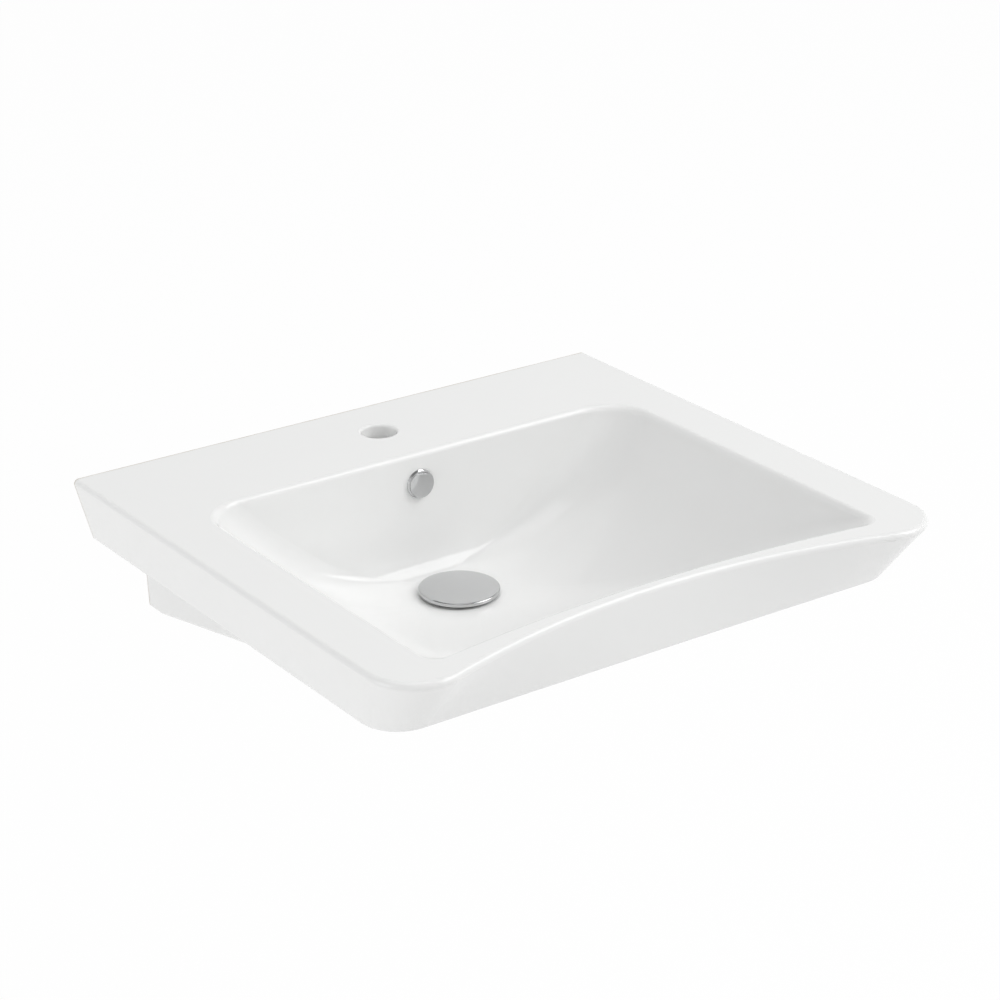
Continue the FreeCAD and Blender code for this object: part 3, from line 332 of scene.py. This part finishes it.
# %% Paint the zinc
ZINC_BRIGHT = (0.66, 0.67, 0.68)
ZINC_DULL = (0.54, 0.55, 0.55)
ZINC_SHINE = (0.28, 0.45)
ZINC_CRYSTALS = 420.0
ZINC_HEIGHT = 0.00002

zinc, tree, shader, place = new_paint("zinc", {"Metallic": 1.0})
crystals = tree.nodes.new("ShaderNodeTexVoronoi")
crystals.inputs["Scale"].default_value = ZINC_CRYSTALS
patch = tree.nodes.new("ShaderNodeSeparateColor")
grain = use_group(tree, grain_group, place, {"Scale": 1800.0})
tree.links.new(place, crystals.inputs["Vector"])
tree.links.new(crystals.outputs["Color"], patch.inputs["Color"])
tree.links.new(tint(tree, patch.outputs["Red"], ZINC_DULL, ZINC_BRIGHT), shader.inputs["Base Color"])
tree.links.new(remap(tree, patch.outputs["Green"], *ZINC_SHINE), shader.inputs["Roughness"])
bump(tree, shader, grain, ZINC_HEIGHT)

# %% [markdown]
# ## Rubber and plastics
#
# Seals are moulded black rubber with a grey bloom. The washers, the latch's barrel and the nut covers
# are moulded plastic with the fine texture of a spark-eroded mould.

# %% Paint the rubber and the plastics
def moulded(name, dark, light, dullness, grain_size, grain_depth):
    """A moulded finish: two close colours in soft patches, and an even grain."""
    paint, tree, shader, place = new_paint(name, {})
    patches = use_group(tree, drift_group, place, {"Scale": 60.0})
    grain = use_group(tree, grain_group, place, {"Scale": 1 / grain_size})
    tree.links.new(tint(tree, patches, dark, light), shader.inputs["Base Color"])
    tree.links.new(remap(tree, grain, *dullness), shader.inputs["Roughness"])
    bump(tree, shader, grain, grain_depth)
    return paint


PAINTS = {
    "white_glaze": glaze, "chrome_plate": chrome, "raw_brass": brass, "zinc_steel": zinc,
    "black_rubber": moulded("rubber", (0.024, 0.024, 0.025), (0.045, 0.045, 0.046), (0.62, 0.8),
                            0.0006, 0.00004),
    "white_plastic": moulded("white_moulding", (0.79, 0.79, 0.765), (0.83, 0.83, 0.81), (0.36, 0.5),
                             0.0008, 0.00002),
    "grey_plastic": moulded("grey_moulding", (0.29, 0.30, 0.31), (0.34, 0.35, 0.36), (0.42, 0.56),
                            0.0008, 0.00003),
}

# %% Give the solids their finish
for name, node in nodes.items():
    for slot in node.material_slots:
        slot.material = PAINTS[slot.material.name.split(".")[0]]
    print(name, "has", [slot.material.name for slot in node.material_slots])

# %% [markdown]
# ## Making pieces
#
# Most small parts are turned, and a lathe is what the next helpers imitate: they spin an outline,
# given in millimetres as pairs of radius and height, round the Z axis. A piece is then smoothed
# except at its sharp edges and put on its CAD body, and the CAD solid it stands for is hidden.
# Pieces that sit straight on the waste's or the studs' axis read their ends from the box of that
# solid, so the two can't drift apart.

# %% Helpers for turned pieces
MM = 0.001
MERGE = 1e-6
SHARP = math.radians(35)
SHARP_THREAD = math.radians(28)
SHARP_NUT = math.radians(20)
AT_REST = Matrix.Identity(4)
AT_WASTE = Matrix.Translation((0, waste_axis_y, 0))


def spin_outline(bm, outline, steps=96, closed=True):
    """Spins an outline of (radius, height) round the Z axis."""
    points = [bm.verts.new((radius * MM, 0, height * MM)) for radius, height in outline]
    pairs = list(zip(points, points[1:]))
    if closed:
        pairs.append((points[-1], points[0]))
    edges = [bm.edges.new(pair) for pair in pairs]
    bmesh.ops.spin(bm, geom=points + edges, cent=(0, 0, 0), axis=(0, 0, 1), dvec=(0, 0, 0),
                   angle=2 * math.pi, steps=steps, use_merge=True, use_duplicate=False)
    bmesh.ops.remove_doubles(bm, verts=bm.verts, dist=MERGE)


def rounded(outline, radii, parts=4):
    """The outline with short edges round the corners that radii names, as {index: radius}."""
    result = []
    count = len(outline)
    for index, corner in enumerate(outline):
        here = Vector(corner)
        if index not in radii:
            result.append(here)
            continue
        radius = radii[index]
        back = (Vector(outline[index - 1]) - here).normalized()
        ahead = (Vector(outline[(index + 1) % count]) - here).normalized()
        half = back.angle(ahead) / 2
        middle = here + (back + ahead).normalized() * radius / math.sin(half)
        first = here + back * radius / math.tan(half) - middle
        last = here + ahead * radius / math.tan(half) - middle
        turn = first.angle_signed(last)
        for step in range(parts + 1):
            result.append(middle + Matrix.Rotation(-turn * step / parts, 2) @ first)
    return result


def vertices_of(parts):
    """The vertices among the mixed parts that an operator gives back."""
    return [part for part in parts if isinstance(part, bmesh.types.BMVert)]


# %% Helpers that place a piece and measure its solid
def make_piece(name, bm, slot, body, stands_for, place=AT_REST, sharp=SHARP):
    """Turns a mesh into an object that rides on a body and stands for the named solid."""
    bmesh.ops.transform(bm, matrix=place, verts=bm.verts)
    bmesh.ops.recalc_face_normals(bm, faces=bm.faces)
    for face in bm.faces:
        face.smooth = True
    open_edges = sum(not edge.is_manifold for edge in bm.edges)
    mesh = bpy.data.meshes.new(name)
    bm.to_mesh(mesh)
    bm.free()
    mesh.set_sharp_from_angle(angle=sharp)
    mesh.materials.append(PAINTS[slot])
    piece = bpy.data.objects.new(name, mesh)
    scene.collection.objects.link(piece)
    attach(piece, body)
    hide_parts(stands_for)
    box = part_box(stands_for)
    low = [min(vertex.co[axis] for vertex in mesh.vertices) for axis in range(3)]
    high = [max(vertex.co[axis] for vertex in mesh.vertices) for axis in range(3)]
    over = max(max(box[0][axis] - low[axis], high[axis] - box[1][axis]) for axis in range(3))
    print(name, len(mesh.polygons), "faces,", open_edges, "open edges,",
          round(over / MM, 3), "mm past its solid")


def ring(name, slot, outline, radii, place=AT_WASTE, parts=4):
    """A turned ring that rides on the basin and stands for the solid of its own name."""
    bm = bmesh.new()
    spin_outline(bm, rounded(outline, radii, parts))
    make_piece(name + "_dressed", bm, slot, "basin", name, place)


def in_mm(*lengths):
    """Lengths of the frame in millimetres, to the hundredth that they were drawn to."""
    return [round(length / MM, 2) for length in lengths]


def waste_span(name):
    """Foot, top and radius of a solid round the waste's axis."""
    low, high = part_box(name)
    return in_mm(low[2], high[2], high[0])


def wall_span(name):
    """Where a solid starts and ends, counted from the wall face into the room."""
    low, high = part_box(name)
    return in_mm(-high[1], -low[1])


print("the cap runs from", *waste_span("waste_cap"))

# %% [markdown]
# ## The cap
#
# The round chrome cap over the outlet is a shallow dome with a small radius at its edge and a short
# upright side. The picture shows that edge as a dark crescent with a bright line below it: so
# small a rounding mirrors half the room in a narrow band. Underneath sit the step that holds the
# seal and the threaded boss.

# %% Turn the cap
CAP_THICKNESS = 5.5
CAP_DOME = 1.5
CAP_EDGE = 1.6
CAP_UNDER_EDGE = 0.8
CAP_HUB = 19.25
CAP_HUB_HEIGHT = 3.0
CAP_BOSS = 7.0
CAP_BORE = 4.05
CAP_BORE_DEPTH = 1.5
CAP_STEP_EDGE = 0.4
DOME_PARTS = 16

cap_foot, cap_top, cap_radius = waste_span("waste_cap")
cap_under = cap_top - CAP_THICKNESS
hub_foot = cap_under - CAP_HUB_HEIGHT
bore_end = cap_under + CAP_BORE_DEPTH
dome_reach = cap_radius - CAP_EDGE
dome_radius = (dome_reach ** 2 + CAP_DOME ** 2) / (2 * CAP_DOME)


def dome_height(distance):
    """How high the dome is, so far from its middle."""
    return cap_top - dome_radius + math.sqrt(dome_radius ** 2 - distance ** 2)


outline = [(dome_reach * step / DOME_PARTS, dome_height(dome_reach * step / DOME_PARTS))
           for step in range(DOME_PARTS)]
rim = len(outline)
outline += [
    (cap_radius, dome_height(cap_radius)), (cap_radius, cap_under), (CAP_HUB, cap_under),
    (CAP_HUB, hub_foot), (CAP_BOSS, hub_foot), (CAP_BOSS, cap_foot),
    (CAP_BORE, cap_foot), (CAP_BORE, bore_end), (0, bore_end),
]
cap_radii = {rim: CAP_EDGE, rim + 1: CAP_UNDER_EDGE, rim + 3: CAP_STEP_EDGE, rim + 5: CAP_STEP_EDGE}
bm = bmesh.new()
spin_outline(bm, rounded(outline, cap_radii, parts=6), steps=144, closed=False)
make_piece("cap_dressed", bm, "chrome_plate", "cap", "waste_cap", AT_WASTE)

# %% [markdown]
# ## The overflow
#
# The overflow is a chromed ring pushed into the hole, with a disc that stands a little off it so
# that water slips in behind. The disc has a flat cut at its top, and whoever pushed it in left it
# turned by some degrees. The ring's edge is sloped, so that it shows as a light band with a small
# bright spot, past the dark side of the disc. Both are drawn flat and then put square on the
# bowl's rear wall, at the place and the lean that it has there.

# %% Turn the ring
OVERFLOW_SEAT = Vector((0, -0.13525, 0.0635))
OVERFLOW_LEAN = math.radians(2.643)
AT_OVERFLOW = Matrix.Translation(OVERFLOW_SEAT) @ Matrix.Rotation(math.pi / 2 - OVERFLOW_LEAN, 4, "X")
RING_BORE = 10.2
RING_SLEEVE = 11.7
RING_FLANGE = 14.5
RING_CROWN = 12.9
RING_DEPTH = 9.0
RING_LIP = 0.3
RING_PROUD = 1.9

ring("overflow_ring", "chrome_plate",
     ((RING_BORE, -RING_DEPTH), (RING_SLEEVE, -RING_DEPTH), (RING_SLEEVE, 0.0), (RING_FLANGE, 0.0),
      (RING_FLANGE, RING_LIP), (RING_CROWN, RING_PROUD), (RING_BORE, RING_PROUD)),
     {0: 0.3, 1: 0.5, 4: 0.5, 5: 0.6, 6: 0.6}, AT_OVERFLOW, parts=6)

# %% Cut the disc
DISC_RADIUS = 13.5
DISC_FLAT = 10.8
DISC_BACK = 2.5
DISC_THICKNESS = 1.9
DISC_EDGE = 0.4
DISC_TURN = math.radians(-12)

bm = bmesh.new()
bmesh.ops.create_circle(bm, cap_ends=True, segments=120, radius=DISC_RADIUS * MM)
bmesh.ops.bisect_plane(bm, geom=bm.verts[:] + bm.edges[:] + bm.faces[:], plane_co=(0, DISC_FLAT * MM, 0),
                       plane_no=(0, 1, 0), clear_outer=True)
bmesh.ops.translate(bm, vec=(0, 0, DISC_BACK * MM), verts=bm.verts)
raised = bmesh.ops.extrude_face_region(bm, geom=bm.faces[:])["geom"]
bmesh.ops.translate(bm, vec=(0, 0, DISC_THICKNESS * MM), verts=vertices_of(raised))
bmesh.ops.recalc_face_normals(bm, faces=bm.faces)
rims = [edge for edge in bm.edges if abs(edge.verts[0].co.z - edge.verts[1].co.z) < MERGE]
bmesh.ops.bevel(bm, geom=rims, offset=DISC_EDGE * MM, segments=4, profile=0.5, affect="EDGES", material=-1)
print("disc of", len(bm.faces), "faces")

# %% Add the disc's legs
LEGS = 3
LEG_OUT = 9.25
LEG_WALL = 1.5
LEG_WIDTH = 5.0
LEG_FOOT = -6.3
LEG_SUNK = 0.2
LEG_EDGE = 0.25

leg_top = DISC_BACK + LEG_SUNK
for number in range(LEGS):
    block = bmesh.ops.create_cube(bm, size=1.0)["verts"]
    size = Matrix.Diagonal((LEG_WALL * MM, LEG_WIDTH * MM, (leg_top - LEG_FOOT) * MM, 1))
    middle = Matrix.Translation(((LEG_OUT - LEG_WALL / 2) * MM, 0, (leg_top + LEG_FOOT) / 2 * MM))
    turn = Matrix.Rotation(2 * math.pi * number / LEGS, 4, "Z")
    bmesh.ops.transform(bm, matrix=turn @ middle @ size, verts=block)
    sides = {edge for vertex in block for edge in vertex.link_edges}
    bmesh.ops.bevel(bm, geom=list(sides), offset=LEG_EDGE * MM, segments=2, profile=0.5,
                    affect="EDGES", material=-1)
make_piece("overflow_disc", bm, "chrome_plate", "basin", "overflow_cover",
           AT_OVERFLOW @ Matrix.Rotation(DISC_TURN, 4, "Z"))

# %% [markdown]
# ## Threads
#
# A thread is a ridge that climbs round a core. The lathe helper makes it from one small profile by
# spinning it while it rises by the pitch each turn, and its two ends are then closed. The waste's
# tail carries a pipe thread, 11 threads to the inch. The wall studs carry a coarse wood thread where
# they go into their plugs, and it tapers off at the point.

# %% Helper for a thread
RIDGE_BASE = 0.86
RIDGE_TIP = 0.2
RIDGE_SUNK = 0.1


def add_thread(bm, root, crest, pitch, foot, top, steps=48):
    """Adds a ridge that climbs from foot to top round the Z axis."""
    base = RIDGE_BASE * pitch
    tip = RIDGE_TIP * pitch
    sunk = root - RIDGE_SUNK
    corners = ((sunk, foot), (crest, foot + (base - tip) / 2),
               (crest, foot + (base + tip) / 2), (sunk, foot + base))
    points = [bm.verts.new((radius * MM, 0, height * MM)) for radius, height in corners]
    start = [bm.edges.new((points[index - 1], points[index])) for index in range(4)]
    count = int((top - foot - base) / pitch * steps)
    made = bmesh.ops.spin(bm, geom=points + start, cent=(0, 0, 0), axis=(0, 0, 1),
                          dvec=(0, 0, pitch / steps * MM), angle=2 * math.pi * count / steps,
                          steps=count, use_merge=False, use_duplicate=False)
    finish = [part for part in made["geom_last"] if isinstance(part, bmesh.types.BMEdge)]
    bmesh.ops.contextual_create(bm, geom=start)
    bmesh.ops.contextual_create(bm, geom=finish)
    print("thread of", round(count / steps, 1), "turns")


# %% Cut the thread on the waste's tail
TAIL_OUTSIDE = 20.95
TAIL_CREST = 20.94
TAIL_ROOT = 19.55
TAIL_PITCH = 25.4 / 11
TAIL_LENGTH = 36.0
TAIL_SLACK = 0.1
THREAD_START = 0.4
THREAD_STOP = 0.2

# the CAD tail is as thick as the thread's crests, so it shrinks to the root before the ridge goes on
tail_foot = waste_span("waste_body")[0]
tail_top = tail_foot + TAIL_LENGTH
bm = bmesh.new()
bm.from_mesh(nodes["waste_body"].data)
bmesh.ops.remove_doubles(bm, verts=bm.verts, dist=MERGE)
bmesh.ops.translate(bm, vec=(0, -waste_axis_y, 0), verts=bm.verts)
tail = [vertex for vertex in bm.verts if vertex.co.z < (tail_top + TAIL_SLACK) * MM
        and vertex.co.xy.length > (TAIL_CREST - 2 * TAIL_SLACK) * MM]
shrink = TAIL_ROOT / TAIL_OUTSIDE
bmesh.ops.scale(bm, vec=(shrink, shrink, 1), verts=tail)
add_thread(bm, TAIL_ROOT, TAIL_CREST, TAIL_PITCH, tail_foot + THREAD_START, tail_top - THREAD_STOP, steps=72)
make_piece("waste_body_threaded", bm, "chrome_plate", "basin", "waste_body", AT_WASTE, SHARP_THREAD)

# %% [markdown]
# ## Wall studs
#
# A hanger bolt has a wood thread for the plug in the wall, a short plain shoulder and a machine
# thread for the nut. Its point is drawn as a straight screw first, and then everything near the
# tip is pulled in towards the axis, the ridge with it. One stud is made in place and copied to
# the other side, and so are the bush and the washer that sit on it.

# %% Helper for pieces that come in pairs
STUD_CREST = 5.0
AT_WALL = Matrix.Rotation(math.pi / 2, 4, "X")
stud_spread = in_mm(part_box("wall_studs")[1][0])[0] - STUD_CREST


def make_pair(name, bm, slot, stands_for):
    """Makes a piece of two like parts, one at each fixing bolt."""
    beside = Matrix.Translation((stud_spread * MM, 0, 0))
    bmesh.ops.transform(bm, matrix=beside @ AT_WALL, verts=bm.verts)
    copied = bmesh.ops.duplicate(bm, geom=bm.verts[:] + bm.edges[:] + bm.faces[:])["geom"]
    bmesh.ops.translate(bm, vec=(-2 * stud_spread * MM, 0, 0), verts=vertices_of(copied))
    make_piece(name, bm, slot, "basin", stands_for)


print("the studs stand", stud_spread, "mm to each side")

# %% Cut the wall studs
STUD_ROOT = 3.7
STUD_PITCH = 4.2
# the machine thread is drawn plain, and a little thin to clear the nut and bush
STUD_SHANK = 4.85
STUD_CHAMFER = 1.0
SHOULDER_START = -7.5
SHOULDER_END = -5.0
SHANK_STEP = 0.2
POINT_START = 0.5
POINT_STEP = 2.0
POINT_PARTS = 7
POINT_LENGTH = 12.0
RIDGE_START = 0.6
RIDGE_END = -7.0

stud_tip, stud_end = wall_span("wall_studs")
core = [(0, stud_tip)]
core += [(STUD_ROOT, stud_tip + POINT_START + POINT_STEP * step) for step in range(POINT_PARTS)]
core += [(STUD_ROOT, SHOULDER_START), (STUD_CREST, SHOULDER_END), (STUD_CREST, 0),
         (STUD_SHANK, SHANK_STEP), (STUD_SHANK, stud_end - STUD_CHAMFER),
         (STUD_SHANK - STUD_CHAMFER, stud_end), (0, stud_end)]
bm = bmesh.new()
spin_outline(bm, core, steps=48, closed=False)
add_thread(bm, STUD_ROOT, STUD_CREST, STUD_PITCH, stud_tip + RIDGE_START, RIDGE_END, steps=36)
for vertex in bm.verts:
    share = min(1.0, (vertex.co.z / MM - stud_tip) / POINT_LENGTH)
    vertex.co.xy *= share
bmesh.ops.remove_doubles(bm, verts=bm.verts, dist=MERGE)
make_pair("wall_studs_threaded", bm, "zinc_steel", "wall_studs")

# %% [markdown]
# ## Nuts
#
# A nut is hexagonal bar, and a lathe cones its corners off at 30 degrees, which leaves the curved
# edges that every nut shows. Here it is made the same way: a hexagonal bar is intersected with a
# turned blank.

# %% Helpers for a nut
CONE = math.tan(math.radians(30))
CONE_RIM = 0.475
CONE_SPARE = 1.0
BORE_CHAMFER = 0.7


def mesh_object(name, bm):
    """An object of a mesh, for the floor and for shapes that are used up."""
    bmesh.ops.recalc_face_normals(bm, faces=bm.faces)
    mesh = bpy.data.meshes.new(name)
    bm.to_mesh(mesh)
    bm.free()
    made = bpy.data.objects.new(name, mesh)
    scene.collection.objects.link(made)
    return made


def make_nut(name, body, hole):
    """A hexagonal nut of brass with coned corners, in place of the solid of its name."""
    low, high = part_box(name)
    flats, height, foot = in_mm(high[1] - low[1], high[2] - low[2], low[2])
    corner = flats / math.sqrt(3)
    bar = bmesh.new()
    bmesh.ops.create_circle(bar, cap_ends=True, segments=6, radius=corner * MM)
    bmesh.ops.rotate(bar, cent=(0, 0, 0), matrix=Matrix.Rotation(math.pi / 2, 3, "Z"), verts=bar.verts)
    raised = bmesh.ops.extrude_face_region(bar, geom=bar.faces[:])["geom"]
    bmesh.ops.translate(bar, vec=(0, 0, height * MM), verts=vertices_of(raised))
    rim = flats * CONE_RIM
    wide = corner + CONE_SPARE
    drop = (wide - rim) * CONE
    bore = hole / 2
    blank = bmesh.new()
    spin_outline(blank, (
        (bore + BORE_CHAMFER, 0), (rim, 0), (wide, drop), (wide, height - drop), (rim, height),
        (bore + BORE_CHAMFER, height), (bore, height - BORE_CHAMFER), (bore, BORE_CHAMFER)))
    hexagon = mesh_object(name + "_bar", bar)
    turned = mesh_object(name + "_blank", blank)
    cut = hexagon.modifiers.new("cut", "BOOLEAN")
    cut.operation = "INTERSECT"
    cut.solver = "EXACT"
    cut.object = turned
    shaped = bmesh.new()
    shaped.from_object(hexagon, bpy.context.evaluated_depsgraph_get())
    for used in (hexagon, turned):
        bpy.data.objects.remove(used)
    bmesh.ops.remove_doubles(shaped, verts=shaped.verts, dist=MERGE)
    place = Matrix.Translation((0, waste_axis_y, foot * MM))
    make_piece(name + "_coned", shaped, "raw_brass", body, name, place, SHARP_NUT)


# %% Cut the nuts
BACK_NUT_HOLE = 42.0
CARTRIDGE_NUT_HOLE = 16.1
LOCK_NUT_HOLE = 8.1

make_nut("back_nut", "basin", BACK_NUT_HOLE)
make_nut("cartridge_nut", "basin", CARTRIDGE_NUT_HOLE)
make_nut("cap_lock_nut", "cap", LOCK_NUT_HOLE)

# %% [markdown]
# ## Seals and washers
#
# Rubber and plastic rings come from moulds, which can't make a sharp edge, so each corner is rounded
# by a few tenths of a millimetre. Such small radii are what makes plain rings look like real ones.

# %% Turn the gasket, the seal and the washer
GASKET_BORE = 22.45
SEAL_BORE = 21.0
SEAL_FOOT_RADIUS = 25.0
SLIP_WASHER_BORE = 21.0


def flat_ring(name, slot, bore, inner_edge, outer_edge):
    """A ring of oblong section, as thick and as wide as its solid."""
    foot, top, radius = waste_span(name)
    ring(name, slot, ((bore, foot), (radius, foot), (radius, top), (bore, top)),
         {0: inner_edge, 1: outer_edge, 2: outer_edge, 3: inner_edge})


flat_ring("flange_gasket", "black_rubber", GASKET_BORE, 0.3, 0.5)
foot, top, radius = waste_span("lower_seal")
ring("lower_seal", "black_rubber",
     ((SEAL_BORE, foot), (SEAL_FOOT_RADIUS, foot), (radius, top), (SEAL_BORE, top)),
     {0: 0.4, 1: 0.8, 2: 0.6, 3: 0.4})
flat_ring("slip_washer", "white_plastic", SLIP_WASHER_BORE, 0.2, 0.5)

# %% Turn the bushes and washers of the studs
BUSH_BORE = 4.9
BUSH_SLEEVE = 8.2
BUSH_FLANGE = 14.91
BUSH_FLANGE_THICKNESS = 3.0
STUD_WASHER_RADIUS = 12.41

start, end = wall_span("stud_bushes")
flange = end - BUSH_FLANGE_THICKNESS
bush = ((BUSH_BORE, start), (BUSH_SLEEVE, start), (BUSH_SLEEVE, flange), (BUSH_FLANGE, flange),
        (BUSH_FLANGE, end), (BUSH_BORE, end))
bm = bmesh.new()
spin_outline(bm, rounded(bush, {0: 0.4, 1: 0.6, 3: 0.4, 4: 0.8, 5: 0.3}))
make_pair("stud_bushes_moulded", bm, "grey_plastic", "stud_bushes")

start, end = wall_span("stud_washers")
washer = ((BUSH_BORE, start), (STUD_WASHER_RADIUS, start), (STUD_WASHER_RADIUS, end), (BUSH_BORE, end))
bm = bmesh.new()
spin_outline(bm, rounded(washer, {0: 0.2, 1: 0.3, 2: 0.5, 3: 0.3}))
make_pair("stud_washers_stamped", bm, "zinc_steel", "stud_washers")

# %% [markdown]
# ## Floor and light
#
# Such a basin hangs with its rim about 85 cm over the floor, so the floor lies that far down and
# catches only a faint shadow. White ceramic is hard to light: too much lamp and it clips, too little
# and it greys. The world gives a soft level from all sides. The key is a soft box four metres wide
# at the front right. It draws the lines along the rounded edges, and because it is so wide they
# stay soft. A lamp overhead lifts the deck, and one at the left makes the skirt as bright as the
# deck.

# %% Make the floor
RIM_OVER_FLOOR = 0.85
FLOOR_SIZE = 60.0
FLOOR_WHITE = 0.95
FLOOR_SEEN_PLAIN = 0.96
floor_level = cad_box[1].z - RIM_OVER_FLOOR

bm = bmesh.new()
bmesh.ops.create_grid(bm, x_segments=1, y_segments=1, size=FLOOR_SIZE / 2)
bmesh.ops.translate(bm, vec=(0, 0, floor_level), verts=bm.verts)
floor = mesh_object("floor", bm)
print("floor at", round(floor_level, 3))


# %% Paint the floor
def seen_plain(tree, path):
    """1 for what the camera sees, also in a mirror or through glass, and 0 for light itself."""
    straight, mirrored, through = (path.outputs["Is " + kind + " Ray"]
                                   for kind in ("Camera", "Glossy", "Transmission"))
    return maths(tree, "MAXIMUM", maths(tree, "MAXIMUM", straight, mirrored), through)


# To the camera, and in what metal mirrors, the floor is mostly a plain white. The rest of it is
# really lit, so a shadow still shows. Seen from below it lets the view through.
floor_paint = bpy.data.materials.new("floor_paint")
floor_paint.use_nodes = True
tree = floor_paint.node_tree
tree.nodes.clear()
output = tree.nodes.new("ShaderNodeOutputMaterial")
lit = tree.nodes.new("ShaderNodeBsdfDiffuse")
lit.inputs["Color"].default_value = (FLOOR_WHITE, FLOOR_WHITE, FLOOR_WHITE, 1)
plain = tree.nodes.new("ShaderNodeEmission")
path = tree.nodes.new("ShaderNodeLightPath")
mixed = tree.nodes.new("ShaderNodeMixShader")
side = tree.nodes.new("ShaderNodeNewGeometry")
clear = tree.nodes.new("ShaderNodeBsdfTransparent")
one_sided = tree.nodes.new("ShaderNodeMixShader")
link = tree.links.new
link(maths(tree, "MULTIPLY", seen_plain(tree, path), FLOOR_SEEN_PLAIN), mixed.inputs[0])
link(lit.outputs[0], mixed.inputs[1])
link(plain.outputs[0], mixed.inputs[2])
link(side.outputs["Backfacing"], one_sided.inputs[0])
link(mixed.outputs[0], one_sided.inputs[1])
link(clear.outputs[0], one_sided.inputs[2])
link(one_sided.outputs[0], output.inputs["Surface"])
floor.data.materials.append(floor_paint)
print("paint", floor_paint.name)

# %% Set the world
WORLD_LEVEL = 0.70
# how bright the ceiling is in a mirror, and between which upward parts of a ray it sets in
CEILING_LEVEL = 0.35
CEILING_START = 0.42
CEILING_END = 0.80

world = bpy.data.worlds.new("studio")
scene.world = world
world.use_nodes = True
tree = world.node_tree
tree.nodes.clear()
output = tree.nodes.new("ShaderNodeOutputWorld")
soft = tree.nodes.new("ShaderNodeBackground")
soft.inputs["Strength"].default_value = WORLD_LEVEL
white = tree.nodes.new("ShaderNodeBackground")
mixed = tree.nodes.new("ShaderNodeMixShader")
path = tree.nodes.new("ShaderNodeLightPath")

# A studio is white all round, but its ceiling is darker. Metal and glaze mirror that, so polished
# faces that look up don't turn plain white. The camera itself sees white everywhere.
aim = tree.nodes.new("ShaderNodeTexCoord")
upward = tree.nodes.new("ShaderNodeSeparateXYZ")
link = tree.links.new
link(aim.outputs["Generated"], upward.inputs["Vector"])
ceiling = remap(tree, upward.outputs["Z"], 1.0, CEILING_LEVEL, CEILING_START, CEILING_END, smooth=True)
link(maths(tree, "MAXIMUM", path.outputs["Is Camera Ray"], ceiling), white.inputs["Strength"])
link(seen_plain(tree, path), mixed.inputs[0])
link(soft.outputs[0], mixed.inputs[1])
link(white.outputs[0], mixed.inputs[2])
link(mixed.outputs[0], output.inputs["Surface"])
print("world at", WORLD_LEVEL)

# %% Hang the lamps
LIT_POINT = Vector((0, -0.27, 0.03))
# name: (degrees from straight in front towards +X, degrees over the horizon, distance, width, watts)
LAMPS = {
    "key_lamp": (54, 43, 6.0, 4.0, 160.0),
    "top_lamp": (0, 90, 5.0, 3.0, 31.0),
    "left_lamp": (-90, 0, 5.0, 3.0, 64.0),
}

for name, (turn, height, distance, width, watts) in LAMPS.items():
    data = bpy.data.lights.new(name, "AREA")
    data.size = width
    data.energy = watts
    swung = Matrix.Rotation(math.radians(turn), 3, "Z") @ Matrix.Rotation(math.radians(-height), 3, "X")
    away = swung @ Vector((0, -1, 0))
    facing = away.to_track_quat("Z", "Y").to_matrix().to_4x4()
    lamp = bpy.data.objects.new(name, data)
    lamp.matrix_world = Matrix.Translation(LIT_POINT + away * distance) @ facing
    scene.collection.objects.link(lamp)
    print(name, "at", [round(value, 2) for value in lamp.matrix_world.translation])

# %% A helper for boxes
def corners(box):
    """A box as two plain lists of numbers."""
    return [list(corner) for corner in box]
